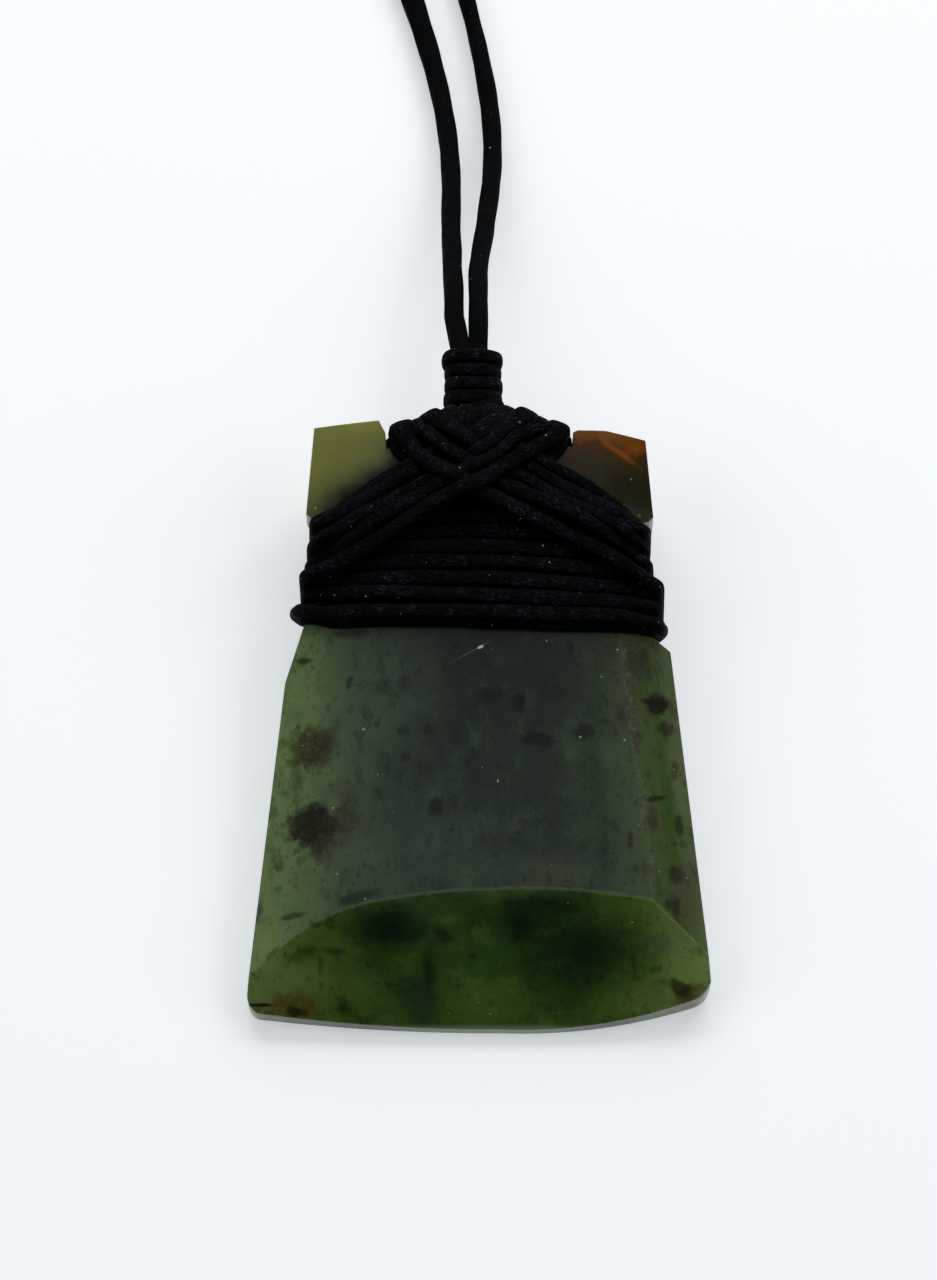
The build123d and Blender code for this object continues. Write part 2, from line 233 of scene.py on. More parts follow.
def cord_tree():
    """The tree that sweeps a cord's section along paths that carry the cord's place and size."""
    rows = [
        ("Path", "Geometry", None),
        ("Sides", "Int", 20),
        ("Plies", "Int", 3),
        ("Ply Relief", "Float", 0.05),
        ("Squareness", "Float", 2.5),
        ("Lay Length", "Float", 15 * MM),
        ("Fibre Radius", "Float", 0.4 * MM),
        ("Closed Ends", "Bool", True),
        ("Material", "Material", None),
    ]
    outs = [("Cord", "Geometry")]
    g, given, result = new_group("Cord along a path", "GeometryNodeTree", rows, outs)
    g.tree.is_modifier = True

    def stored(name, kind="FLOAT_VECTOR"):
        return g.add("GeometryNodeInputNamedAttribute", {"Name": name}, data_type=kind)

    def store(shape, name, value, kind="FLOAT_VECTOR"):
        feeds = {"Geometry": shape, "Name": name, "Value": value}
        return g.add("GeometryNodeStoreNamedAttribute", feeds, data_type=kind, domain="POINT")

    curve = g.add("GeometryNodeMeshToCurve", {0: given["Path"]})
    circle = g.add("GeometryNodeCurvePrimitiveCircle", {"Resolution": given["Sides"], "Radius": 1.0})
    circle = store(circle, "rim", g.add("GeometryNodeInputPosition", {}))
    feeds = {"Curve": curve, "Profile Curve": circle, "Fill Caps": given["Closed Ends"]}
    tube = g.add("GeometryNodeCurveToMesh", feeds)
    rim_x, rim_y, _ = g.split(stored("rim"))
    run = stored("run", "FLOAT")
    turned = g.times(g.math("DIVIDE", run, given["Lay Length"]), math.tau)
    angle = g.minus(g.math("ARCTAN2", rim_y, rim_x), turned)
    wave = g.math("COSINE", g.times(angle, given["Plies"]))
    dip = g.times(g.minus(1.0, wave), 0.5)
    reach = g.minus(1.0, g.times(dip, given["Ply Relief"]))
    flat = [g.math("POWER", g.math("ABSOLUTE", rim), given["Squareness"]) for rim in (rim_x, rim_y)]
    flat = g.math("POWER", g.plus(*flat), g.math("DIVIDE", 1.0, given["Squareness"]))
    reach = g.math("DIVIDE", reach, flat)
    across = stored("across")
    normal = g.vector("CROSS_PRODUCT", stored("along"), across)
    sideways = g.times(g.times(rim_x, reach), stored("half_width", "FLOAT"))
    upwards = g.times(g.times(rim_y, reach), stored("half_thickness", "FLOAT"))
    place = g.vector("ADD", g.vector("SCALE", across, sideways), g.vector("SCALE", normal, upwards))
    place = g.vector("ADD", stored("middle"), place)
    tube = g.add("GeometryNodeSetPosition", {"Geometry": tube, "Position": place})
    ring = [g.times(g.math(wave, angle), given["Fibre Radius"]) for wave in ("COSINE", "SINE")]
    tube = store(tube, "fibre", g.join(*ring, run))
    # crest: how near the top or the bottom of the section a point is; the cord materials paint shade where it
    # is low, along the cord's sides
    tube = store(tube, "crest", g.math("ABSOLUTE", rim_y), "FLOAT")
    for kind in ("GeometryNodeSetShadeSmooth", "GeometryNodeRealizeInstances"):
        tube = g.add(kind, {"Geometry": tube})
    tube = g.add("GeometryNodeSetMaterial", {"Geometry": tube, "Material": given["Material"]})
    g.feed(result, {"Cord": tube})


# What each point of a cord's path carries
PATH_VALUES = {
    "middle": "FLOAT_VECTOR",
    "along": "FLOAT_VECTOR",
    "across": "FLOAT_VECTOR",
    "half_width": "FLOAT",
    "half_thickness": "FLOAT",
    "run": "FLOAT",
}


def unit(vectors):
    return vectors / np.linalg.norm(vectors, axis=-1, keepdims=True)


def runs_along(points, closed):
    """The distance along a line of points, and its whole length."""
    ends = np.roll(points, -1, axis=0) - points
    steps = np.linalg.norm(ends if closed else ends[:-1], axis=1)
    total = steps.sum()
    run = np.concatenate([[0.0], np.cumsum(steps)])
    return (run[:-1] if closed else run), total


def eased(share):
    """0 up to 0 and 1 from 1 on, with a smooth rise between."""
    share = np.clip(share, 0, 1)
    return share * share * (3 - 2 * share)


def respaced(values, step, closed, line=None):
    """Columns of values at even steps along a line or along their own points, and its length."""
    run, total = runs_along(values[:, :3] if line is None else line, closed)
    at = np.linspace(0, total, max(3, int(total / step)), endpoint=not closed)
    if closed:
        run = np.append(run, total)
        values = np.vstack([values, values[:1]])
    return np.stack([np.interp(at, run, column) for column in values.T], axis=1), total


def softened(values, reach, closed):
    """Columns of values smoothed over reach rows each way."""
    span = int(3 * reach) + 1
    weights = np.exp(-0.5 * (np.arange(-span, span + 1) / reach) ** 2)
    weights /= weights.sum()
    mode = "wrap" if closed else "edge"
    padded = np.pad(values, ((span, span), (0, 0)), mode=mode)
    return np.stack([np.convolve(column, weights, "valid") for column in padded.T], axis=1)


class CordPath:
    """A cord's centre line with its width, thickness and the way that its width lies."""

    def __init__(self, points, across, width, thickness, closed, roll=0.0, start=0.0):
        self.closed = closed
        self.middle = points
        along = np.roll(points, -1, axis=0) - np.roll(points, 1, axis=0)
        if not closed:
            along[0] = points[1] - points[0]
            along[-1] = points[-1] - points[-2]
        self.along = unit(along)
        flat = unit(across - (across * self.along).sum(1, keepdims=True) * self.along)
        side = np.cross(self.along, flat)
        roll = np.broadcast_to(roll, len(points))[:, None]
        self.across = flat * np.cos(roll) + side * np.sin(roll)
        self.half_width = np.broadcast_to(width / 2, len(points))
        self.half_thickness = np.broadcast_to(thickness / 2, len(points))
        self.run = runs_along(points, closed)[0] + start

    def in_world(self):
        """The same path moved from the pendant's own frame to where the pendant lies."""
        self.middle = placed(self.middle)
        self.along = self.along @ TURN.T
        self.across = self.across @ TURN.T
        return self


def new_object(name, data):
    """A new object in the scene."""
    made = bpy.data.objects.new(name, data)
    bpy.context.scene.collection.objects.link(made)
    return made


def sweep(name, paths, material, **inputs):
    """A mesh of cords swept along paths, made by the cord tree."""
    mesh = bpy.data.meshes.new(name)
    points = np.vstack([path.middle for path in paths])
    edges = []
    first = 0
    for path in paths:
        count = len(path.middle)
        edges += [(first + k, first + k + 1) for k in range(count - 1)]
        if path.closed:
            edges.append((first + count - 1, first))
        first += count
    mesh.from_pydata(points.tolist(), edges, [])
    for value, kind in PATH_VALUES.items():
        stacked = np.concatenate([getattr(path, value) for path in paths]).astype(np.float32)
        attribute = mesh.attributes.new(value, kind, "POINT")
        attribute.data.foreach_set("value" if kind == "FLOAT" else "vector", stacked.ravel())
    path_object = new_object(name, mesh)
    modifier = path_object.modifiers.new("Cord", "NODES")
    modifier.node_group = bpy.data.node_groups["Cord along a path"]
    inputs["Material"] = material
    for socket in modifier.node_group.interface.items_tree:
        if socket.in_out == "INPUT" and socket.name in inputs:
            modifier[socket.identifier] = inputs[socket.name]
    result = baked(path_object)
    for value in (*PATH_VALUES, "rim"):
        if value in result.data.attributes:
            result.data.attributes.remove(result.data.attributes[value])
    return result


def baked(source):
    """A plain mesh object of what source looks like with its modifiers, which takes its place."""
    graph = bpy.context.evaluated_depsgraph_get()
    mesh = bpy.data.meshes.new_from_object(
        source.evaluated_get(graph), preserve_all_data_layers=True, depsgraph=graph
    )
    name = source.name
    bpy.data.objects.remove(source)
    mesh.name = name
    work = bmesh.new()
    work.from_mesh(mesh)
    bmesh.ops.recalc_face_normals(work, faces=work.faces)
    work.to_mesh(mesh)
    work.free()
    return new_object(name, mesh)


def nodes_named(start):
    """The names of the CAD nodes that start in one way."""
    return sorted(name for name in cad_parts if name.startswith(start))


def finish_piece(piece, slot, *nodes):
    """Says what a piece rides on and hides the nodes that it stands for."""
    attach(piece, "root")
    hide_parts(*nodes)


class Ground:
    """Heights over the lashed end of the blade, on a fine grid, to lay cords on."""

    step = 0.1 * MM
    low = np.array([-16.5, 22.0]) * MM
    high = np.array([16.5, 43.5]) * MM
    empty = -1.0
    # The part of a cord's width that has to lie on something, and its half section from rim to rim
    core = np.linspace(-0.3, 0.3, 5)
    section = np.linspace(-0.95, 0.95, 9)
    rim = 0.98

    def __init__(self, up, base, lowest, press):
        self.base = base
        self.lowest = lowest
        self.press = press
        faces = [tuple(face.vertices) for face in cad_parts["blade"].data.polygons]
        tree = BVHTree.FromPolygons([Vector(p) for p in BLADE_POINTS], faces)
        shape = np.ceil((self.high - self.low) / self.step).astype(int)
        self.height = np.full(shape, self.empty)
        above = 4 * BLADE_THICKNESS * up
        for cell in np.ndindex(*shape):
            x, y = self.low + np.array(cell) * self.step
            hit = tree.ray_cast(Vector((x, y, above)), Vector((0, 0, -up)))
            if hit[0] is not None:
                self.height[cell] = up * hit[0].z
        self.stone = self.height > self.empty / 2

    def cells(self, points):
        """The grid cells of points (x, y)."""
        at = np.rint((points - self.low) / self.step).astype(int)
        at = np.clip(at, 0, np.array(self.height.shape) - 1)
        return at[..., 0], at[..., 1]

    def covered(self, line, width):
        """The first and the last point of a line over the stone, and over the stone or other cords."""
        spots = line[:, None] + beside(line)[:, None] * self.core[None, :, None] * width
        cells = self.cells(spots)
        for under in (self.stone, self.height > self.empty / 2):
            over = np.flatnonzero(under[cells].any(axis=1))
            yield over[0], over[-1]

    def lay(self, line, run, width, thickness, sag):
        """Lays a tight cord on what is there, and gives the heights of its middle, pressed down."""
        ahead = unit(np.gradient(line, axis=0))
        u, v = (grid.ravel() for grid in np.meshgrid(self.section, self.section))
        inside = u**2 + v**2 < self.rim
        u, v = u[inside], v[inside]
        curve = thickness / 2 * np.sqrt(1 - u**2 - v**2)
        offsets = ahead[:, None] * u[None, :, None] * thickness / 2
        offsets = offsets + beside(line)[:, None] * v[None, :, None] * width / 2
        cells = self.cells(line[:, None] + offsets)
        needed = np.maximum((self.height[cells] + curve).max(axis=1), self.lowest)
        middle = pulled_tight(run, needed, sag)
        np.maximum.at(self.height, cells, middle[:, None] + curve)
        first_layer = self.base + thickness / 2
        pressed = first_layer + self.press * (middle - first_layer)
        return np.where(middle > first_layer, pressed, middle)


def pulled_tight(along, needed, sag):
    """The line of a tight cord over all the heights that it needs, bent down between them by sag."""
    bent = sag * along**2 / 2
    kept = []
    for s, z in zip(along, needed - bent):
        while len(kept) > 1:
            (s0, z0), (s1, z1) = kept[-2:]
            if (s1 - s0) * (z - z0) < (z1 - z0) * (s - s0):
                break
            kept.pop()
        kept.append((s, z))
    return np.interp(along, [s for s, _ in kept], [z for _, z in kept]) + bent


def smooth_line(points, step):
    """A smooth line through a few points, with evenly spaced points of its own."""
    p = np.array(points, float)
    p = np.vstack([2 * p[0] - p[1], p, 2 * p[-1] - p[-2]])
    t = np.linspace(0, 1, 24, endpoint=False)[:, None]
    line = []
    for a, b, c, d in zip(p, p[1:], p[2:], p[3:]):
        curve = 2 * b + (c - a) * t + (2 * a - 5 * b + 4 * c - d) * t**2
        line.append((curve + (3 * b - a - 3 * c + d) * t**3) / 2)
    return respaced(np.vstack([*line, p[-2:-1]]), step, False)[0]


def beside(line):
    """The way across a line that is seen from above, to its left."""
    ahead = unit(np.gradient(line, axis=0))
    return np.stack([-ahead[:, 1], ahead[:, 0]], axis=1)


def level(flat, z=0.0):
    """Points or directions (x, y) with a height added."""
    return np.column_stack([flat, np.broadcast_to(z, len(flat))])


def in_metres(points):
    return np.array(points) * MM


# How far the turns stand out at the left side (-1) and the right side (1) where they are piled up
SIDE_BULGES = {
    # side: rows of (y, outward) in millimetres
    -1: [(26.6, -0.15), (27.6, 0.1), (28.2, 0.4), (30, 0.4), (32, 0.25), (34, -0.05)],
    1: [(26.2, 0), (26.8, 0.2), (27.6, 0.45), (29, 0.2), (30.5, -0.05), (34, -0.1)],
}


class Lashing:
    """Cord wound round the blade, each turn pulled tight over the turns before it."""

    # The spacing of a turn's points, how far its line overruns the blade and how far it is smoothed
    fine = 0.08 * MM
    overrun = 3 * MM
    softness = 0.2 * MM
    # The shares of its thickness and width by which a turn keeps others off
    squeeze = 0.88
    crowding = 0.6
    # How far out a turn goes at the sides over the turns before it, and how much rounder it gets there
    side_press = 0.4
    side_rounding = 0.22
    # Where the bulge and the rounding at the sides start and where they are full
    bulge_span = (9.0 * MM, 10.0 * MM)
    rounding_span = (9.2 * MM, 10.1 * MM)
    # How far the strands bulge out of the butt's notch, how much they spread and over what length
    butt_bulge = 0.7 * MM
    butt_spread = 0.5
    butt_reach = 2.5 * MM
    # How much a strand levels out as it goes over the side, and how uneven the cord is
    exit_slope = 0.45
    unevenness = 0.06

    def __init__(self):
        self.face = Ground(1, BLADE_THICKNESS, 0.5 * BLADE_THICKNESS, 0.6)
        self.back = Ground(-1, 0.0, -0.28 * BLADE_THICKNESS, 0.4)

    def trimmed(self, line, width, thickness):
        """The line between the two edges of the blade, out to where the cord clears them."""
        stone, cords = self.face.covered(line, width)
        out = thickness / 2 / self.fine + 1
        start = stone[0] - self.side_press * (stone[0] - cords[0]) - out
        end = stone[1] + self.side_press * (cords[1] - stone[1]) + out
        return line[max(0, round(start)) : round(end) + 1]

    def loop(self, line, slide, width, thickness, sag):
        """A closed line over the face and straight across the back, and which way its width lies."""
        run, total = runs_along(line, False)
        top = self.face.lay(line, run, width, thickness, sag)
        count = len(line)
        ends = np.array([line[0], line[-1]]) - np.array([[0, slide[0]], [0, slide[1]]])
        chord = ends[0] + (ends[1] - ends[0]) * np.linspace(0, 1, count)[:, None]
        bottom = self.back.lay(chord, np.linspace(0, total, count), width, thickness, sag)

        side = np.linspace(0, 1, max(4, int((top[-1] + bottom[-1]) / self.fine)))[1:-1, None]
        down = level(line[-1:], top[-1]) * (1 - side) + level(ends[1:], -bottom[-1]) * side
        up = level(ends[:1], -bottom[0]) * (1 - side) + level(line[:1], top[0]) * side
        across = beside(line)
        parts = [
            (level(line, top), across),
            (down, across[-1:]),
            (level(chord, -bottom)[::-1], beside(chord)),
            (up, across[:1]),
        ]
        flat = [np.broadcast_to(level(way), part.shape) for part, way in parts]
        return np.vstack([part for part, _ in parts]), np.vstack(flat)

    def turn(self, points, width, thickness, step, slide, roll, twist, way=None, sag=0.0):
        """One closed turn along points (x, y) on the face. Way is how it leaves a notch in the butt."""
        start, end = (np.array(points[k], float) for k in (0, -1))
        first = unit(start - points[1] if way is None else np.array(way)) * self.overrun
        last = end - points[-2]
        if way is not None:
            last = last * (1, self.exit_slope)
        last = unit(last) * self.overrun
        line = smooth_line([start + first, *points, end + last], self.fine)
        line = self.trimmed(line, width, thickness)
        firm = thickness * self.squeeze
        loop, flat = self.loop(line, slide, width * self.crowding, firm, sag)
        values = np.hstack([loop, flat])
        for sign, rows in SIDE_BULGES.items():
            at, bulge = in_metres(rows).T
            near = self.near_side(sign * values[:, 0], self.bulge_span)
            values[:, 0] += sign * near * np.interp(values[:, 1], at, bulge)
        if way is not None:
            values[:, 1] += self.butt_bulge * np.clip(self.near_butt(values[:, 1]), 0, 1)
        values, _ = respaced(values, self.fine, True, loop)
        values = softened(values, self.softness / self.fine, True)
        values, total = respaced(values, step, True)
        share = np.linspace(0, math.tau, len(values), endpoint=False)
        rolled = roll * np.sin(3 * share + twist)
        thick = thickness * (1 + self.unevenness * np.sin(5 * share + 2 * twist))
        wide = width * (1 + self.unevenness * np.sin(4 * share + 3 * twist))
        if way is not None:
            wide = wide * (1 + self.butt_spread * eased(self.near_butt(values[:, 1])))
        near = self.side_rounding * self.near_side(np.abs(values[:, 0]), self.rounding_span)
        path = CordPath(
            values[:, :3], values[:, 3:], wide * (1 - near), thick * (1 + near), True, rolled, twist * total
        )
        return path.in_world()

    def near_side(self, out, span):
        """How far through a span a distance from the middle is, from 0 to 1."""
        return eased((out - span[0]) / (span[1] - span[0]))

    def near_butt(self, y):
        """How far up the lashed end is on the way to the butt, up to 1 at the butt."""
        return (y - BLADE_LENGTH + self.butt_reach) / self.butt_reach


# The whipping: its number of turns above the collar, their pitch, where they start, the middle (x, z)
# that they go round, and the cord's width and thickness
NECK_TURNS = 4
NECK_PITCH = 0.97 * MM
NECK_START = 42.6 * MM
NECK_MIDDLE = (-0.35 * MM, 2.3 * MM)
NECK_CORD = (1.02 * MM, 0.55 * MM)
# Half its width and half its height in millimetres: on the whole, then what the collar and the top turn add,
# then what the last turn's end draws in
NECK_HALVES = [(1.66, 0.22, 0.16, 0.45), (1.0, 0.1, 0.1, 0.45)]
# How far its turns wander, as shares of its width and of its pitch
NECK_WANDER = (0.03, 0.07)
# How square it is (1 is round), and the collar's pitch and slant
NECK_SQUARENESS = 0.72
COLLAR_PITCH = 1.05 * MM
COLLAR_SLANT = 0.24
# Where the level turns go on the face, in the order in which they were wound
WAIST_WRAPS = [
    # wrap, thickness as a share of the cord's, then y in millimetres at each of WRAP_COLUMNS
    (1, 0.5, (26.9, 26.5, 26.0, 25.8, 25.8)),
    (2, 0.45, (27.9, 27.6, 27.0, 26.75, 26.9)),
    (7, 0.6, (32.2, 32.9, 34.9, 33.2, 32.3)),
    (7, 0.7, (32.2, 32.7, 34.1, 32.9, 32.0)),
    (1, 1.0, (27.2, 26.75, 26.4, 26.2, 26.15)),
    (2, 1.0, (28.5, 28.2, 27.6, 27.2, 27.2)),
    (3, 1.0, (29.5, 29.15, 28.8, 28.3, 28.3)),
    (4, 1.0, (30.5, 30.2, 30.0, 29.5, 29.3)),
    (5, 1.0, (31.4, 31.2, 31.05, 30.6, 30.3)),
    (6, 1.0, (32.0, 32.1, 32.15, 31.7, 31.3)),
    (7, 1.0, (32.4, 32.7, 33.15, 32.6, 32.1)),
]
WRAP_COLUMNS = (-10.7, -8.8, 0.0, 7.7, 10.6)
# How much nearer the butt the level turns lie on the back
WRAP_SLIDE = 0.8 * MM
# The strands that cross the face, in the order in which they were wound. Each row starts at the butt's
# notch, and its points (x, y) are in millimetres.
CROSS_STRANDS = [
    # band, width and thickness as shares of the cord's, then points
    (
        "left", 0.85, 0.6,
        [(-5.3, 38.4), (-4.9, 37.8), (-3.9, 36.7), (-2.0, 35.2), (0.0, 34.2), (4.2, 32.2), (9.6, 29.2)],
    ),
    (
        "right", 0.85, 0.6,
        [(5.3, 38.4), (4.6, 37.6), (3.4, 36.6), (1.5, 35.2), (0.0, 34.4), (-3.1, 33.4), (-9.5, 29.6)],
    ),
    ("left", 0.85, 0.5, [(-4.7, 39.1), (-3.7, 38.1), (-2.2, 36.9), (0.0, 35.4), (4.2, 33.6), (9.6, 31.2)]),
    ("right", 0.85, 0.5, [(4.7, 39.1), (3.6, 38.2), (2.0, 36.9), (0.0, 35.6), (-3.1, 34.2), (-9.5, 31.2)]),
    ("left", 0.85, 0.5, [(-2.8, 39.8), (-1.8, 38.7), (0.4, 37.2), (4.2, 35.2), (9.6, 32.6)]),
    ("right", 0.85, 0.5, [(2.8, 39.8), (1.8, 38.8), (-0.2, 37.4), (-3.1, 36.0), (-9.5, 32.4)]),
    ("left", 0.8, 1.0, [(-1.2, 40.3), (0.2, 39.4), (4.2, 37.0), (6.5, 35.7), (9.0, 34.0), (9.9, 33.3)]),
    ("right", 0.8, 1.0, [(1.2, 40.3), (-0.2, 39.4), (-4.0, 37.1), (-6.2, 36.0), (-8.3, 34.5), (-9.6, 33.3)]),
    ("left", 0.85, 1.0, [(-2.2, 40.2), (0.1, 38.6), (2.5, 37.1), (5.2, 35.4), (8.7, 33.2), (10.0, 32.3)]),
    ("right", 0.88, 1.0, [(2.2, 40.2), (-0.1, 38.5), (-3.1, 36.8), (-5.1, 35.9), (-7.0, 34.7), (-9.8, 32.7)]),
    (
        "left", 0.85, 1.0,
        [(-3.4, 40.1), (-2.1, 39.2), (0.1, 37.5), (2.0, 36.3), (5.2, 34.4), (9.0, 32.2), (10.3, 31.3)],
    ),
    (
        "right", 0.88, 1.0,
        [(3.3, 40.1), (1.9, 39.1), (-0.1, 37.3), (-3.3, 35.6), (-5.0, 34.7), (-7.0, 33.5), (-10.0, 31.6)],
    ),
    (
        "left", 0.88, 1.0,
        [(-4.3, 39.6), (-3.4, 38.9), (-2.4, 38.0), (-0.5, 36.4), (1.6, 35.3), (5.3, 33.4), (9.2, 31.1),
         (10.5, 30.2)],
    ),
    (
        "right", 0.88, 1.0,
        [(4.3, 39.6), (3.3, 39.0), (2.3, 38.4), (0.4, 36.6), (-3.2, 34.7), (-6.3, 32.8), (-10.1, 30.4)],
    ),
    (
        "left", 1.0, 1.0,
        [(-4.85, 38.75), (-4.2, 37.9), (-3.4, 36.9), (-1.2, 35.3), (0.0, 34.5), (1.4, 33.9), (4.2, 32.4),
         (7.7, 30.6), (9.6, 29.4), (10.8, 28.6)],
    ),
    (
        "right", 1.0, 1.0,
        [(5.0, 38.7), (4.3, 38.2), (3.2, 37.5), (1.1, 36.0), (0.0, 35.0), (-1.5, 34.3), (-3.1, 33.6),
         (-5.0, 32.4), (-7.6, 30.8), (-10.1, 29.5)],
    ),
]
# How sharply the first and the last crossing strand are pressed down beside the crossing, as a curvature
CROSS_SAG = (0.35 / MM, 0.12 / MM)
# How much nearer the cutting edge the strands lie on the back, at their start and at their end
CROSS_SLIDE = (0.0, 1.0 * MM)
# How much a strand leans outwards where it leaves the butt's notch, for each metre from the middle
CROSS_LEAN = 0.05 / MM
# How far the level turns and the strands roll to and fro, and how that moves on from one to the next
WRAP_ROLL, WRAP_TWIST = 0.1, 1.7
CROSS_ROLL, CROSS_TWIST = 0.12, 2.3


def make_lashing(settings):
    """The paths of each lashing piece, by its name: the level turns and both crossing bands."""
    lashing = Lashing()
    wide, thick, step = settings.width, settings.thickness, settings.ring_step
    paths = {}
    for k, (wrap, share, row) in enumerate(WAIST_WRAPS):
        points = in_metres(list(zip(WRAP_COLUMNS, row)))
        slide = (-WRAP_SLIDE, -WRAP_SLIDE)
        turn = lashing.turn(points, wide, thick * share, step, slide, WRAP_ROLL, WRAP_TWIST * k)
        paths.setdefault(f"waist_wrap_{wrap}_cord", []).append(turn)
    for k, (band, share, depth, points) in enumerate(CROSS_STRANDS):
        points = in_metres(points)
        size = (wide * share, thick * depth)
        way = (CROSS_LEAN * points[0, 0], 1.0)
        sag = CROSS_SAG[0] + (CROSS_SAG[1] - CROSS_SAG[0]) * k / (len(CROSS_STRANDS) - 1)
        turn = lashing.turn(points, *size, step, CROSS_SLIDE, CROSS_ROLL, CROSS_TWIST * k, way, sag)
        paths.setdefault(f"{band}_cross_band", []).append(turn)
    return paths


NECKLACE_ROUTE = [
    # x, y and z of each corner of the necklace cord's route, in metres
    (-0.00106, 0.01773, 0.00488),
    (-0.00106, 0.02596, 0.0054),
    (-0.00174, 0.03247, 0.0030),
    (-0.00154, 0.04147, 0.0009),
    (-0.00324, 0.05047, 0.0007),
    (-0.00714, 0.06247, 0.0007),
    (-0.01734, 0.07897, 0.0007),
    (-0.03734, 0.09497, 0.0007),
    (-0.06634, 0.10997, 0.0007),
    (-0.09834, 0.13297, 0.0007),
    (-0.11634, 0.16997, 0.0007),
    (-0.11434, 0.21097, 0.0007),
    (-0.09134, 0.24497, 0.0007),
    (-0.05434, 0.26297, 0.0007),
    (-0.01334, 0.25997, 0.0007),
    (0.01966, 0.23697, 0.0007),
    (0.03766, 0.19997, 0.0007),
    (0.03566, 0.15997, 0.0007),
    (0.01966, 0.12597, 0.0007),
    (0.00366, 0.09997, 0.0007),
    (-0.00384, 0.08097, 0.0007),
    (-0.00274, 0.06247, 0.0007),
    (0.00016, 0.05047, 0.0007),
    (0.00126, 0.04147, 0.0009),
    (0.00021, 0.03247, 0.0030),
    (0.00038, 0.02596, 0.0054),
    (0.00038, 0.01773, 0.00488),
]


# The distance between the rings of the braid's mesh
BRAID_STEP = 0.25 * MM
# The stretch at each end of the necklace cord in which the braid lies flat, before it starts to turn over
FLAT_STRETCH = 62 * MM
# How much farther than a round cord the squarish braid reaches, and the clearance under it
CORNER_REACH = 1.1
# How far each strand lies beside its route and how wide it is, where it can be seen
STRANDS = [
    # rows of (y, shift along x), then rows of (y, width), in millimetres
    (
        [(22, 0.1), (26, -0.42), (32, -0.15), (40, -0.2), (52, -0.1), (60, 0)],
        [(46, 1.35), (52, 1.5), (60, 1.78), (68, 1.85)],
    ),
    (
        [(22, -0.4), (26, -0.35), (30, -0.3), (34, 0), (48, 0), (60, 0)],
        [(46, 1.32), (52, 1.15), (60, 1.3), (68, 1.45), (90, 1.85)],
    ),
]


def route_line():
    """Points read from the smooth spline of the necklace cord's route."""
    curve = bpy.data.curves.new("necklace_route", "CURVE")
    curve.dimensions = "3D"
    curve.resolution_u = 48
    spline = curve.splines.new("NURBS")
    spline.points.add(len(NECKLACE_ROUTE) - 1)
    for point, place in zip(spline.points, NECKLACE_ROUTE):
        point.co = (*place, 1)
    spline.order_u = 3
    spline.use_endpoint_u = True
    holder = new_object("necklace_route", curve)
    graph = bpy.context.evaluated_depsgraph_get()
    mesh = bpy.data.meshes.new_from_object(holder.evaluated_get(graph))
    line = np.array([v.co for v in mesh.vertices])
    bpy.data.objects.remove(holder)
    bpy.data.curves.remove(curve)
    bpy.data.meshes.remove(mesh)
    return line


def make_necklace(settings, material):
    """The braid, flat in section and turning over slowly along its route."""
    line, _ = respaced(route_line(), BRAID_STEP, False)
    run, total = runs_along(line, False)
    turning = total - 2 * FLAT_STRETCH
    half_turns = round(2 * turning / settings.twist_length)
    turn = math.pi * half_turns * np.clip((run - FLAT_STRETCH) / turning, 0, 1)
    first_half = run < total / 2
    wide = np.zeros(len(line))
    for half, (shifts, widths) in zip((first_half, ~first_half), STRANDS):
        at, shift = in_metres(shifts).T
        line[:, 0] += half * np.interp(line[:, 1], at, shift)
        at, width = in_metres(widths).T
        wide += half * np.interp(line[:, 1], at, width)
    path = CordPath(line, level(beside(line)), wide, settings.thickness, False, turn)
    low = np.abs(path.across[:, 2]) * path.half_width
    lift = np.hypot(low, np.sqrt(1 - path.across[:, 2] ** 2) * path.half_thickness)
    path.middle[:, 2] = np.maximum(path.middle[:, 2], CORNER_REACH * lift)
    return sweep("necklace_braid", [path], material, **{"Plies": 4, "Sides": 24, "Ply Relief": 0.05})


def make_whipping(settings, material):
    """The cord wound round both strands of the necklace cord above the butt, from a slanted collar up."""
    points_a_turn = 110
    share = np.linspace(-1, NECK_TURNS - 0.25, (NECK_TURNS + 1) * points_a_turn)
    angle = math.tau * share
    collar = eased(-2 * share)
    climb = np.floor(share) + eased(2 * (share - np.floor(share)) - 1)
    top = np.clip(share - (NECK_TURNS - 1), 0, 1)
    half_x, half_z = (
        (half + wider * collar + swell * np.sin(math.pi * top) - drawn * top**3) * MM
        for half, wider, swell, drawn in NECK_HALVES
    )
    half_x = half_x * (1 + NECK_WANDER[0] * np.sin(0.37 * angle))
    x, z = (
        middle + half * np.sign(wave) * np.abs(wave) ** NECK_SQUARENESS
        for middle, half, wave in zip(NECK_MIDDLE, (half_x, half_z), (np.cos(angle), np.sin(angle)))
    )
    y = NECK_START + NECK_PITCH * (climb + NECK_WANDER[1] * np.sin(2.1 * angle + 1))
    y = y + collar * (NECK_PITCH - COLLAR_PITCH + COLLAR_SLANT * (x - NECK_MIDDLE[0]))
    points, _ = respaced(np.stack([x, y, z], axis=1), settings.ring_step, False)
    points = softened(points, 1.5, False)
    flat = np.broadcast_to([0.0, 1.0, 0.0], points.shape)
    path = CordPath(points, flat, *NECK_CORD, False).in_world()
    return sweep("neck_whipping", [path], material)


# Points nearer than this are one point, faces nearly in one plane are one face, and the edges that turn by
# more than the rims' angle are rounded
MERGE_DISTANCE = 0.002 * MM
FLAT_ANGLE = math.radians(0.6)
RIM_ANGLE = math.radians(17)


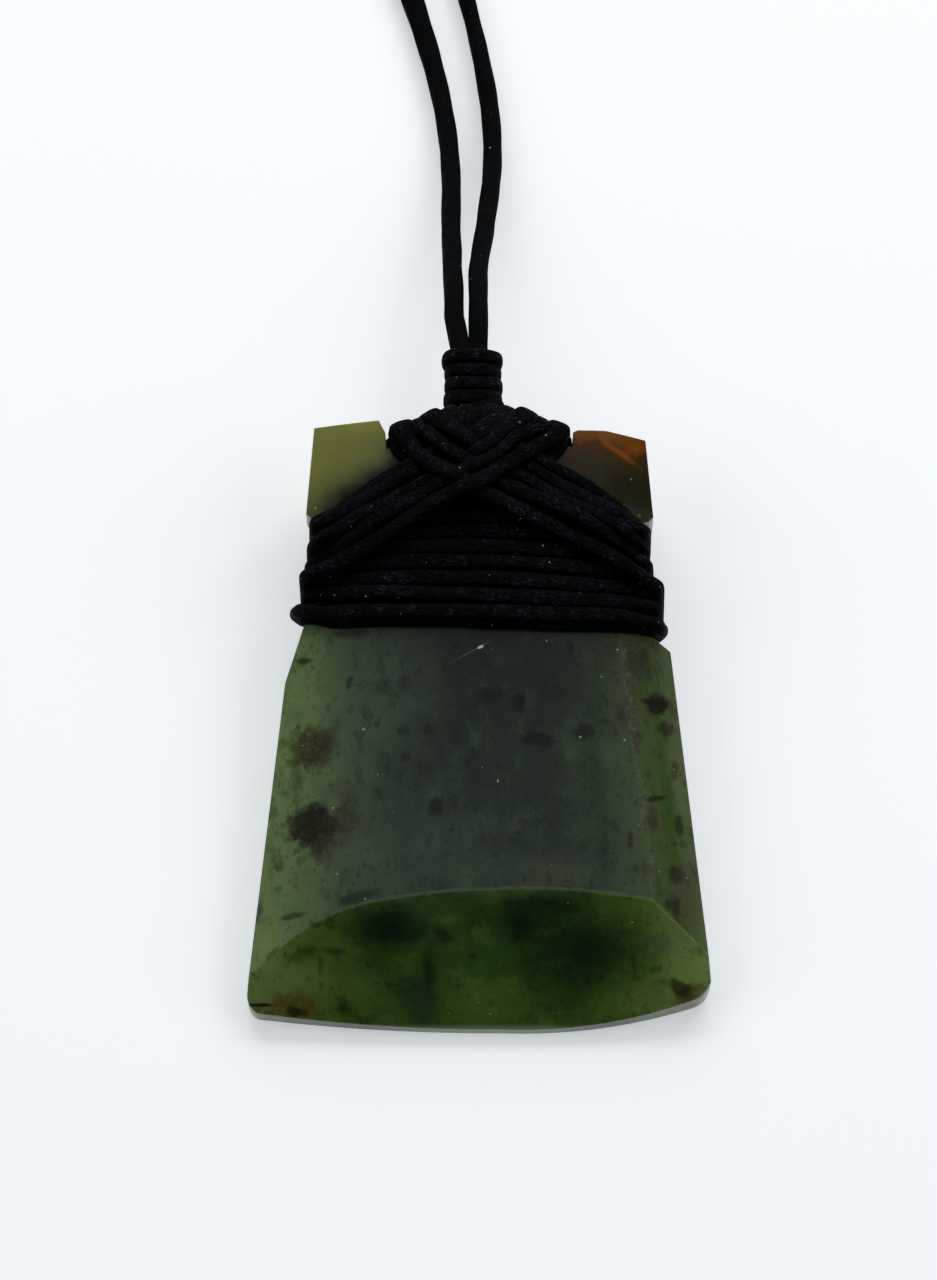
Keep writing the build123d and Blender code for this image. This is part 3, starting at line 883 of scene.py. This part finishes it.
def make_blade(settings, material):
    """The blade with its edges rounded by polishing."""
    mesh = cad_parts["blade"].data.copy()
    work = bmesh.new()
    work.from_mesh(mesh)
    bmesh.ops.remove_doubles(work, verts=work.verts, dist=MERGE_DISTANCE)
    bmesh.ops.dissolve_limit(work, angle_limit=FLAT_ANGLE, verts=work.verts, edges=work.edges)
    work.to_mesh(mesh)
    work.free()
    blank = new_object("polished_blade", mesh)
    bevel = blank.modifiers.new("Polished rims", "BEVEL")
    bevel.width = settings.rim_radius
    bevel.segments = settings.rim_steps
    bevel.limit_method = "ANGLE"
    bevel.angle_limit = RIM_ANGLE
    blade = baked(blank)
    blade.data.materials.clear()
    blade.data.materials.append(material)
    blade.data.shade_smooth()
    weighted = blade.modifiers.new("Flat faces", "WEIGHTED_NORMAL")
    weighted.weight = 80
    return blade


def fibre_group():
    """Fine fibres that run along a cord, and grains of dust that cling to it."""
    rows = [
        ("Place", "Vector", None),
        ("Stretch", "Float", 0.08),
        ("Fineness", "Float", 9.0),
        ("Dust", "Float", 0.5),
    ]
    outs = [("Height", "Float"), ("Fibres", "Float"), ("Dust", "Float")]
    g, given, result = new_group("Cord fibres", "ShaderNodeTree", rows, outs)
    place = g.vector("SCALE", given["Place"], 1 / MM)
    x, y, run = g.split(place)
    drawn = g.join(x, y, g.times(run, given["Stretch"]))
    fine = g.noise(drawn, given["Fineness"], 3.0, 0.7)
    coarse = g.noise(drawn, g.times(given["Fineness"], 0.4), 2.0, 0.5)
    height = g.plus(g.times(fine, 0.8), g.times(coarse, 0.5))
    fibres = g.fade(fine, 0.5, 0.66)
    fibres = g.times(fibres, g.fade(g.noise(place, 1.3, 3.0, 0.7), 0.44, 0.66, 0.25, 1.0))
    grains = g.noise(place, 5.5, 0.0, 0.5)
    dust = g.fade(grains, g.minus(0.88, g.times(given["Dust"], 0.1)), 0.9)
    g.feed(result, {"Height": height, "Fibres": fibres, "Dust": dust})


def new_material(name):
    """A material with nodes, its graph and its surface shader."""
    material = bpy.data.materials.new(name)
    material.use_nodes = True
    shader = material.node_tree.nodes["Principled BSDF"]
    return material, Graph(material.node_tree), shader


CORD_FINISHES = [
    # name, dark and light colour, fineness and stretch of the fibres, their relief in millimetres, roughness
    # and dust
    # The light colours stand for painted glints on the fibres
    ("Waxed cord", colour(3, 2, 7), colour(45, 42, 58), 13.0, 0.22, 0.25, 0.36, 0.4),
    ("Braided cord", colour(2, 4, 7), colour(9, 13, 19), 8.0, 0.3, 0.1, 0.75, 0.1),
]


def cord_material(name, dark, light, fineness, stretch, relief, roughness, dust):
    """Black waxed or braided cord: fine fibres with painted glints, painted shade along each cord's sides
    where it meets the next, a soft sheen and grains of dust.
    """
    _, g, shader = new_material(name)
    place = g.add("ShaderNodeAttribute", {}, "Vector", attribute_name="fibre")
    crest = g.add("ShaderNodeAttribute", {}, "Fac", attribute_name="crest")
    feeds = {"Place": place, "Stretch": stretch, "Fineness": fineness, "Dust": dust}
    group = bpy.data.node_groups["Cord fibres"]
    made = g.place("ShaderNodeGroup", feeds, node_tree=group).outputs
    # The fibres' dark colour between them and their light colour, which is painted glints
    tone = g.mix(made["Fibres"], dark, light)
    # Painted shade: black along each cord's sides, where crest is low, fading to the fibres' tone at its top
    # and bottom
    tone = g.mix(g.fade(crest, 0.45, 0.97), (0, 0, 0, 1), tone)
    tone = g.mix(made["Dust"], tone, colour(190, 190, 185))
    bump = {"Height": made["Height"], "Strength": 0.8, "Distance": relief * MM}
    look = {
        "Base Color": tone,
        "Roughness": g.fade(made["Fibres"], 0.0, 1.0, 0.95, roughness),
        "Specular IOR Level": 0.12,
        "Normal": g.add("ShaderNodeBump", bump),
    }
    g.feed(shader, look)


def patch_group():
    """A soft, ragged patch at a place on the stone."""
    rows = [
        ("Place", "Vector", None),
        ("Wander", "Float", 0.0),
        ("Centre", "Vector", None),
        ("Size", "Vector", (1, 1, 1)),
        ("Turn", "Float", 0.0),
        ("Softness", "Float", 0.5),
    ]
    outs = [("Mask", "Float")]
    g, given, result = new_group("Stone patch", "ShaderNodeTree", rows, outs)
    offset = g.vector("SUBTRACT", given["Place"], given["Centre"])
    feeds = {"Vector": offset, "Angle": given["Turn"]}
    offset = g.add("ShaderNodeVectorRotate", feeds, rotation_type="Z_AXIS")
    offset = g.vector("MULTIPLY", g.vector("DIVIDE", offset, given["Size"]), (2.0, 2.0, 0.0))
    distance = g.plus(g.vector("LENGTH", offset), given["Wander"])
    outer = g.plus(1.0, given["Softness"])
    mask = g.fade(distance, outer, g.minus(1.0, given["Softness"]))
    g.feed(result, {"Mask": mask})


# The kinds of marks in the stone, with painted shade and painted reflection among them
MARK_KINDS = {
    # kind: (colour, softness, raggedness, share that is broken up into specks)
    # painted shade: a dark, soft patch for the shade below the lashing
    "painted_shade": (colour(22, 25, 28), 0.9, 1.0, 0.0),
    # painted reflection: soft, lighter patches on the polished face
    "painted_reflection": (colour(76, 96, 74), 0.9, 1.2, 0.0),
    "umber": (colour(54, 40, 26), 0.45, 1.9, 0.25),
    "char": (colour(24, 16, 9), 0.4, 1.7, 0.05),
    "soot": (colour(15, 19, 14), 0.5, 1.5, 0.1),
    "rust": (colour(88, 52, 20), 0.5, 1.9, 0.4),
    "ink": (colour(8, 11, 20), 0.5, 1.3, 0.0),
    "deep": (colour(9, 28, 4), 0.9, 1.0, 0.0),
    "pine": (colour(20, 38, 24), 0.7, 1.2, 0.0),
    "fern": (colour(50, 80, 20), 0.8, 1.0, 0.0),
    "leaf": (colour(78, 108, 40), 0.9, 1.0, 0.0),
    "lime": (colour(122, 146, 74), 0.8, 1.0, 0.0),
    "smoke": (colour(78, 72, 58), 0.7, 1.2, 0.3),
    "amber": (colour(168, 84, 10), 0.7, 1.8, 0.3),
    "bark": (colour(46, 30, 20), 0.8, 1.4, 0.2),
    "pale": (colour(214, 218, 214), 0.4, 0.6, 0.0),
}
STONE_MARKS = [
    # kind, then x, y, width and height in millimetres, turn in degrees and strength
    # painted shade below the lashing
    ("painted_shade", 1.2, 24.0, 17.0, 8.5, 0, 0.6),
    # painted reflections on the polished face
    ("painted_reflection", -4.5, 10.5, 12.0, 6.0, 0, 0.3),
    ("painted_reflection", -6.2, 21.2, 5.5, 7.5, 15, 0.35),
    ("painted_reflection", 3.0, 9.0, 10.0, 2.0, 0, 0.25),
    ("umber", -10.5, 17.8, 2.9, 2.8, 0, 0.9),
    ("umber", -8.8, 14.8, 1.8, 1.4, 0, 0.35),
    ("char", -10.4, 12.5, 3.2, 3.0, 0, 0.9),
    ("umber", -8.4, 12.5, 2.1, 2.3, 0, 0.5),
    ("umber", -9.6, 10.7, 1.4, 1.5, 0, 0.5),
    ("soot", -11.1, 24.0, 1.0, 0.5, 0, 0.8),
    ("soot", -8.2, 22.1, 0.35, 0.9, 15, 0.6),
    ("soot", -4.7, 21.9, 0.8, 1.1, 0, 0.5),
    ("soot", -2.7, 13.4, 0.9, 1.1, 0, 0.8),
    ("umber", -2.8, 13.0, 0.5, 0.4, 0, 0.5),
    ("soot", -4.8, 18.6, 0.7, 0.5, 0, 0.6),
    ("soot", -4.6, 16.8, 0.6, 0.7, 0, 0.6),
    ("soot", -3.1, 18.6, 1.0, 0.7, 0, 0.4),
    ("soot", -7.6, 7.5, 2.7, 0.7, -14, 0.65),
    ("soot", -11.5, 6.6, 1.5, 0.4, -6, 0.65),
    ("soot", -10.1, 5.9, 0.9, 0.4, 0, 0.6),
    ("umber", -12.5, 10.1, 0.6, 0.8, 0, 0.6),
    ("soot", -8.2, 25.6, 2.2, 0.8, 0, 0.6),
    ("char", 11.3, 20.7, 1.3, 1.3, 0, 0.95),
    ("char", 10.6, 20.8, 0.8, 0.4, 0, 0.7),
    ("umber", 11.8, 19.2, 1.0, 1.1, 0, 0.8),
    ("fern", 11.8, 14.2, 0.7, 8.0, -5, 0.8),
    ("soot", 12.5, 12.6, 0.6, 1.5, 0, 0.7),
    ("umber", 12.3, 16.4, 0.5, 1.2, 0, 0.7),
    ("char", 11.0, 14.2, 1.2, 0.4, -20, 0.75),
    ("umber", 10.8, 12.7, 0.8, 1.6, 0, 0.6),
    ("umber", 9.9, 18.0, 0.45, 1.5, 0, 0.65),
    ("umber", 8.9, 19.8, 0.5, 0.8, 0, 0.5),
    ("soot", 9.4, 11.2, 0.4, 1.3, 0, 0.7),
    ("char", 12.3, 9.2, 1.0, 1.4, 0, 0.8),
    ("soot", 12.2, 7.1, 0.5, 1.2, 0, 0.7),
    ("smoke", 12.9, 7.9, 1.5, 4.5, 0, 0.65),
    ("ink", 3.7, 17.9, 2.0, 0.9, 5, 0.8),
    ("ink", 2.5, 20.4, 0.9, 1.4, 15, 0.8),
    ("ink", 5.8, 24.2, 0.5, 1.1, 0, 0.6),
    ("soot", 6.6, 18.5, 1.1, 1.0, 0, 0.75),
    ("soot", 0.6, 20.9, 1.5, 1.2, 0, 0.65),
    ("umber", 4.9, 16.0, 1.6, 0.9, 0, 0.5),
    ("umber", 4.5, 12.5, 0.6, 1.6, 0, 0.5),
    ("umber", 2.7, 12.2, 0.7, 0.8, 0, 0.5),
    ("smoke", 4.5, 8.9, 3.5, 2.2, 0, 0.35),
    ("umber", 0.6, 11.1, 1.4, 0.9, 0, 0.45),
    ("lime", -11.1, 2.8, 3.7, 1.7, 0, 0.35),
    ("lime", -13.1, 4.6, 1.5, 2.7, 0, 0.6),
    ("leaf", 0.1, 1.1, 6.5, 2.8, 0, 0.6),
    ("leaf", -8.3, 1.7, 4.3, 2.2, 0, 0.4),
    ("lime", 12.9, 3.0, 1.8, 3.1, 0, 0.8),
    ("lime", 10.9, 1.7, 3.7, 1.7, 0, 0.4),
    ("deep", -6.5, 6.0, 5.5, 1.6, 0, 0.5),
    ("deep", 2.0, 6.3, 5.0, 2.0, 0, 0.45),
    ("deep", -5.8, 5.5, 3.6, 2.1, 0, 0.95),
    ("deep", 2.6, 5.9, 1.9, 1.5, 0, 0.95),
    ("deep", 6.7, 4.5, 6.4, 3.6, 0, 0.9),
    ("deep", 4.1, 7.0, 4.3, 0.8, 0, 0.7),
    ("soot", -2.3, 5.4, 1.1, 0.7, 30, 0.7),
    ("deep", -3.1, 3.1, 0.7, 2.0, 0, 0.7),
    ("pine", -3.5, 1.6, 2.1, 2.5, 0, 0.65),
    ("deep", -8.4, 1.2, 1.0, 0.8, 0, 0.65),
    ("umber", -8.8, 4.4, 1.4, 0.35, 5, 0.7),
    ("umber", -9.8, 3.6, 0.35, 1.1, 0, 0.6),
    ("umber", -12.7, 4.4, 1.0, 0.3, -45, 0.6),
    ("smoke", 11.1, 4.9, 1.6, 1.1, 0, 0.45),
    ("char", -13.5, 1.4, 1.8, 0.25, 0, 0.95),
    ("rust", -11.6, 1.3, 3.0, 1.5, 0, 0.7),
    ("char", -11.3, 1.0, 1.2, 0.5, 10, 0.8),
    ("rust", 13.0, 1.9, 2.0, 1.1, -30, 0.8),
    ("char", 12.5, 2.3, 1.4, 0.8, 30, 0.8),
    ("amber", 9.0, 38.1, 2.4, 0.4, 32, 0.7),
    ("amber", 10.0, 38.3, 1.3, 0.8, 0, 0.5),
    ("bark", 7.2, 37.4, 2.6, 1.5, 0, 0.5),
    ("bark", 8.9, 36.4, 1.3, 0.8, 20, 0.5),
    ("pale", 0.1, 24.2, 0.4, 0.18, -25, 0.9),
    ("pale", -0.5, 23.9, 3.0, 0.05, -30, 0.14),
]
# Tone of the stone from its left side to its right side: its own dark green, made lighter towards both sides
# by painted light
STONE_TONES_AND_PAINTED_LIGHT = [
    # share of the half width at that y, moved to 0 to 1, then red, green and blue
    (0.0, 112, 136, 86),
    (0.06, 104, 126, 80),
    (0.12, 90, 110, 72),
    (0.2, 66, 82, 60),
    (0.3, 46, 58, 47),
    (0.5, 36, 47, 41),
    (0.68, 40, 52, 43),
    (0.79, 50, 66, 47),
    (0.87, 70, 84, 56),
    (0.94, 70, 88, 42),
    (1.0, 90, 106, 70),
]
BEVEL_TONES_AND_PAINTED_LIGHT = [
    # the same along the bevel, with the same painted light towards both sides
    (0.0, 112, 134, 70),
    (0.12, 80, 104, 38),
    (0.28, 50, 78, 26),
    (0.5, 46, 80, 28),
    (0.7, 42, 72, 20),
    (0.86, 76, 106, 38),
    (1.0, 132, 158, 94),
]
LEFT_EAR_TONES = [
    # share of the way from the lashing up to the butt's corner, then red, green and blue
    (0.1, 22, 23, 16),
    (0.22, 30, 32, 20),
    (0.3, 62, 66, 42),
    (0.47, 118, 122, 70),
    (0.7, 146, 144, 72),
    (1.0, 156, 162, 100),
]
RIGHT_EAR_TONES = [
    (0.2, 45, 47, 32),
    (0.3, 38, 37, 17),
    (0.43, 40, 36, 18),
    (0.55, 60, 46, 14),
    (0.66, 76, 44, 12),
    (0.74, 118, 72, 18),
    (1.0, 134, 82, 30),
]


# How far up an ear its tones are: so much a millimetre of y from a start, then the lean along x and the
# shift of the left and the right ear
EAR_RISE = 0.12
EAR_START = -4.35
EAR_LEANS = [(-0.1, -0.5), (0.05, 0.0)]
# The crease up the right side of the face: how far it leans and where it would meet the cutting edge
CREASE_LEAN = -0.102
CREASE_START = 11.62


def stone_material(settings):
    """Polished nephrite: dark in the middle, green and lighter towards the sides with painted light, with its
    marks, painted shade, painted reflections and a painted highlight along the cutting edge.
    """
    material, g, shader = new_material("Nephrite")
    seen = g.add("ShaderNodeTexCoord", {}, "Object")
    feeds = {
        "Vector": seen,
        "Location": tuple(-ORIGIN / MM),
        "Rotation": (-TILT, 0, 0),
        "Scale": (1 / MM,) * 3,
    }
    place = g.add("ShaderNodeMapping", feeds)
    x, y, z = g.split(place)
    taper = (BUTT_HALF_WIDTH - EDGE_HALF_WIDTH) / BLADE_LENGTH
    half = g.scaled(y, taper, EDGE_HALF_WIDTH / MM)
    # How far across the stone a point is, from 0 to 1, with a little wandering
    wander = g.minus(g.noise(place, 0.22, 3.0, 0.6), 0.5)
    share = g.scaled(wander, 0.16, g.math("DIVIDE", x, half))
    share = g.scaled(share, 0.5, 0.5)
    # The stone's own tone, with painted light towards both sides
    tone = g.ramp(share, STONE_TONES_AND_PAINTED_LIGHT)

    def veiled(under, value, low, high, strength, shade, where=1.0):
        """A tone with a colour over it where a value goes from low to high."""
        return g.mix(g.times(g.fade(value, low, high, 0.0, strength), where), under, shade)

    cloud = g.noise(g.vector("MULTIPLY", place, (1.0, 0.6, 1.0)), 0.6, 5.0, 0.65)
    tone = veiled(tone, cloud, 0.5, 0.72, 0.45, colour(70, 90, 64))
    tone = veiled(tone, cloud, 0.5, 0.3, 0.5, colour(26, 32, 28))

    # The bevel has tones of its own, with painted light towards both sides, and a paler line along its arch
    below = g.minus(g.scaled(y, BEVEL_SLOPE, BEVEL_START), z)
    arch = g.fade(g.math("ABSOLUTE", g.minus(below, 0.07)), 0.1, 0.02)
    tone = g.mix(g.times(arch, 0.4), tone, colour(96, 112, 84))
    blot = g.noise(g.vector("MULTIPLY", place, (1.0, 1.4, 1.0)), 0.42, 4.0, 0.6)
    green = g.ramp(share, BEVEL_TONES_AND_PAINTED_LIGHT)
    green = veiled(green, blot, 0.5, 0.72, 0.6, colour(84, 112, 42))
    green = veiled(green, blot, 0.48, 0.3, 0.55, colour(12, 34, 6))
    tone = g.mix(g.fade(below, 0.07, 0.03), tone, green)

    # The ears have tones of their own too, from the lashing up
    corner = g.plus(g.scaled(y, EAR_RISE, EAR_START), g.times(wander, 0.5))
    ears = [
        g.ramp(g.scaled(x, lean, g.plus(corner, shift)), tones)
        for (lean, shift), tones in zip(EAR_LEANS, (LEFT_EAR_TONES, RIGHT_EAR_TONES))
    ]
    tone = g.mix(g.fade(y, 31.5, 33.5), tone, g.mix(g.fade(x, -0.5, 0.5), *ears))

    # The marks, one over the other, with painted shade and painted reflections among them
    ragged = g.minus(g.noise(place, 1.5, 3.0, 0.6), 0.5)
    specks = g.fade(g.noise(place, 3.0, 3.0, 0.6), 0.36, 0.58)
    group = bpy.data.node_groups["Stone patch"]
    wanders = {kind: g.times(ragged, row[2]) for kind, row in MARK_KINDS.items()}
    for kind, mx, my, wide, high, turn, strength in STONE_MARKS:
        shade, softness, _, broken = MARK_KINDS[kind]
        feeds = {
            "Place": place,
            "Wander": wanders[kind],
            "Centre": (mx, my, 0.0),
            "Size": (wide, high, 1.0),
            "Turn": math.radians(turn),
            "Softness": softness,
        }
        amount = g.times(g.add("ShaderNodeGroup", feeds, node_tree=group), strength)
        if broken:
            amount = g.times(amount, g.scaled(specks, broken, 1 - broken))
        tone = g.mix(amount, tone, shade)

    # Clots, flecks and fine grain, the crease, a painted highlight along the cutting edge and a little dust
    drawn = g.vector("MULTIPLY", place, (1.0, 0.7, 1.0))
    off_ears = g.fade(y, 34.0, 32.0, 0.15, 1.0)
    clots = g.noise(drawn, 1.1, 3.0, 0.6)
    tone = veiled(tone, clots, 0.56, 0.68, 0.4, colour(24, 26, 24), off_ears)
    flecks = g.noise(drawn, 2.6, 4.0, 0.65)
    tone = veiled(tone, flecks, 0.57, 0.7, 0.5, colour(20, 28, 18), off_ears)
    grain = g.noise(place, 9.0, 2.0, 0.6)
    less_on_bevel = g.fade(below, 0.0, 0.05, 0.3, 1.0)
    tone = veiled(tone, grain, 0.6, 0.8, 0.25, colour(110, 124, 92), less_on_bevel)
    crease = g.math("ABSOLUTE", g.minus(x, g.scaled(y, CREASE_LEAN, CREASE_START)))
    crease = g.times(g.fade(crease, 0.4, 0.08), g.fade(y, 6.5, 9.0))
    crease = g.times(crease, g.fade(g.noise(place, 3.5, 3.0, 0.7), 0.5, 0.68, 0.05, 0.45))
    tone = g.mix(g.times(crease, g.fade(y, 33.0, 31.0)), tone, colour(122, 124, 102))
    # Painted highlight: paler within 0.4 mm of the cutting edge
    tone = veiled(tone, y, 0.4, 0.0, 0.4, colour(160, 182, 140))
    dust = g.noise(place, 2.9, 0.0, 0.5)
    tone = veiled(tone, dust, 0.865, 0.88, 1.0, colour(150, 156, 140))
    bump = {"Height": g.noise(place, 0.35, 2.0, 0.5), "Strength": 0.5, "Distance": 0.06 * MM}
    look = {
        "Base Color": tone,
        "Roughness": settings.roughness,
        "IOR": 1.61,
        "Normal": g.add("ShaderNodeBump", bump),
    }
    g.feed(shader, look)
    return material


def floor_material(settings):
    """The pale, even surface."""
    material, g, shader = new_material("Pale surface")
    seen = g.add("ShaderNodeTexCoord", {}, "Object")
    mottle = g.noise(seen, 900.0, 3.0, 0.6)
    pale = settings.floor_colour
    look = {
        "Base Color": g.mix(mottle, (*[c * 0.985 for c in pale], 1), (*pale, 1)),
        "Roughness": 0.9,
        "Specular IOR Level": 0.0,
        "Emission Color": (*pale, 1),
        "Emission Strength": settings.floor_glow,
    }
    g.feed(shader, look)
    return material


# Soft lights round the pendant, and the point that they are aimed at
LIT_POINT = Vector((0, 0.01, 0))
SOFT_LIGHTS = [
    # name, direction in degrees from +X towards +Y, elevation, distance, width and height in metres, watts,
    # then whether the polish mirrors it
    ("Back soft light", 84, 36, 0.7, 0.9, 0.4, 3.6, True),
    ("High soft light", 92, 70, 0.8, 0.9, 0.4, 0.1, True),
    ("Left soft light", 185, 36, 0.7, 0.6, 0.5, 1.1, False),
    ("Right soft light", -5, 36, 0.7, 0.6, 0.5, 1.2, False),
]


def make_lights():
    for name, turn, rise, distance, wide, high, power, mirrored in SOFT_LIGHTS:
        a, e = math.radians(turn), math.radians(rise)
        way = Vector((math.cos(a) * math.cos(e), math.sin(a) * math.cos(e), math.sin(e)))
        lamp = bpy.data.lights.new(name, "AREA")
        lamp.shape = "RECTANGLE"
        lamp.size = wide
        lamp.size_y = high
        lamp.energy = power
        made = new_object(name, lamp)
        made.location = LIT_POINT + way * distance
        made.rotation_euler = (LIT_POINT - made.location).to_track_quat("-Z", "Y").to_euler()
        made.visible_camera = False
        made.visible_glossy = mirrored


def make_world():
    """An even pale room, brighter to look at than it lights."""
    world = bpy.data.worlds.new("Pale room")
    world.use_nodes = True
    bpy.context.scene.world = world
    background = world.node_tree.nodes["Background"]
    g = Graph(world.node_tree)
    looked_at = g.add("ShaderNodeLightPath", {}, "Is Camera Ray")
    strength = g.fade(looked_at, 0.0, 1.0, 0.03, 0.7)
    g.feed(background, {"Color": colour(244, 248, 252), "Strength": strength})


def make_camera(settings):
    """The camera at the photo's angle, with the cutting edge's middle where the photo has it."""
    frame_width, frame_height = 937, 1280
    edge_x, edge_y = 479.0, 1034.0
    focal_pixels = 4508.0
    data = bpy.data.cameras.new("Camera")
    data.sensor_fit = "HORIZONTAL"
    data.sensor_width = 36.0
    data.lens = data.sensor_width * focal_pixels / frame_width
    data.clip_start = 0.01
    camera = new_object("Camera", data)
    e = settings.elevation
    ahead = np.array([0, math.cos(e), -math.sin(e)])
    up = np.array([0, math.sin(e), math.cos(e)])
    right = np.array([1.0, 0, 0])
    u = (edge_x - frame_width / 2) / focal_pixels
    v = (frame_height / 2 - edge_y) / focal_pixels
    edge = placed([[0, 0, 0]])[0]
    camera.location = edge - settings.distance * (ahead + u * right + v * up)
    camera.rotation_euler = (math.pi / 2 - e, 0, 0)
    bpy.context.scene.camera = camera


class MakeStage(bpy.types.Operator):
    """Makes the camera, the lights and the pale surface"""

    bl_idname = "pendant.make_stage"
    bl_label = "Make stage"

    def execute(self, context):
        settings = context.scene.pendant_stage
        make_camera(settings)
        make_lights()
        make_world()
        bpy.ops.mesh.primitive_plane_add(size=6.0)
        floor = context.object
        floor.name = "pale_surface"
        floor.data.materials.append(floor_material(settings))
        context.scene.view_settings.view_transform = "Standard"
        return {"FINISHED"}


class MakeMaterials(bpy.types.Operator):
    """Makes the node groups and the cord materials that the pieces share"""

    bl_idname = "pendant.make_materials"
    bl_label = "Make shared materials"

    def execute(self, context):
        cord_tree()
        fibre_group()
        patch_group()
        for finish in CORD_FINISHES:
            cord_material(*finish)
        return {"FINISHED"}


class MakeNecklace(bpy.types.Operator):
    """Makes the necklace cord"""

    bl_idname = "pendant.make_necklace"
    bl_label = "Make necklace cord"

    def execute(self, context):
        braid = make_necklace(context.scene.pendant_necklace, bpy.data.materials["Braided cord"])
        finish_piece(braid, BRAID_SLOT, "necklace_cord")
        return {"FINISHED"}


class MakeBlade(bpy.types.Operator):
    """Makes the polished stone blade"""

    bl_idname = "pendant.make_blade"
    bl_label = "Make blade"

    def execute(self, context):
        settings = context.scene.pendant_blade
        blade = make_blade(settings, stone_material(settings))
        finish_piece(blade, STONE_SLOT, "blade")
        return {"FINISHED"}


class MakeLashing(bpy.types.Operator):
    """Makes the turns of waxed cord round the blade"""

    bl_idname = "pendant.make_lashing"
    bl_label = "Make lashing"

    def execute(self, context):
        waxed = bpy.data.materials["Waxed cord"]
        for name, paths in make_lashing(context.scene.pendant_lashing).items():
            nodes = nodes_named(name.replace("_band", "_strand").removesuffix("_cord"))
            finish_piece(sweep(name, paths, waxed), LASHING_SLOT, *nodes)
        return {"FINISHED"}


class MakeWhipping(bpy.types.Operator):
    """Makes the whipping that binds the necklace cord above the butt"""

    bl_idname = "pendant.make_whipping"
    bl_label = "Make neck whipping"

    def execute(self, context):
        piece = make_whipping(context.scene.pendant_lashing, bpy.data.materials["Waxed cord"])
        finish_piece(piece, LASHING_SLOT, *nodes_named("neck_turn"))
        return {"FINISHED"}


class PendantPanel(bpy.types.Panel):
    """Lists the pendant's pieces and their sizes"""

    bl_idname = "VIEW3D_PT_pendant"
    bl_label = "Toki adze pendant"
    bl_space_type = "VIEW_3D"
    bl_region_type = "UI"
    bl_category = "Pendant"

    def draw(self, context):
        for name in SETTINGS:
            group = getattr(context.scene, name)
            box = self.layout.box()
            for key in group.__annotations__:
                box.prop(group, key)
        for step in STEPS:
            self.layout.operator(step.bl_idname)


SETTINGS = {
    "pendant_stage": StageSettings,
    "pendant_necklace": NecklaceSettings,
    "pendant_blade": BladeSettings,
    "pendant_lashing": LashingSettings,
}
STEPS = [MakeMaterials, MakeStage, MakeNecklace, MakeBlade, MakeLashing, MakeWhipping]


def register():
    for kind in (*SETTINGS.values(), *STEPS, PendantPanel):
        bpy.utils.register_class(kind)
    for name, kind in SETTINGS.items():
        setattr(bpy.types.Scene, name, bpy.props.PointerProperty(type=kind))


def unregister():
    for name in SETTINGS:
        delattr(bpy.types.Scene, name)
    for kind in (PendantPanel, *reversed(STEPS), *SETTINGS.values()):
        bpy.utils.unregister_class(kind)


def main():
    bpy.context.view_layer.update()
    register()
    bpy.ops.pendant.make_materials()
    bpy.ops.pendant.make_stage()
    bpy.ops.pendant.make_necklace()
    bpy.ops.pendant.make_blade()
    bpy.ops.pendant.make_lashing()
    bpy.ops.pendant.make_whipping()


if __name__ == "__main__":
    main()
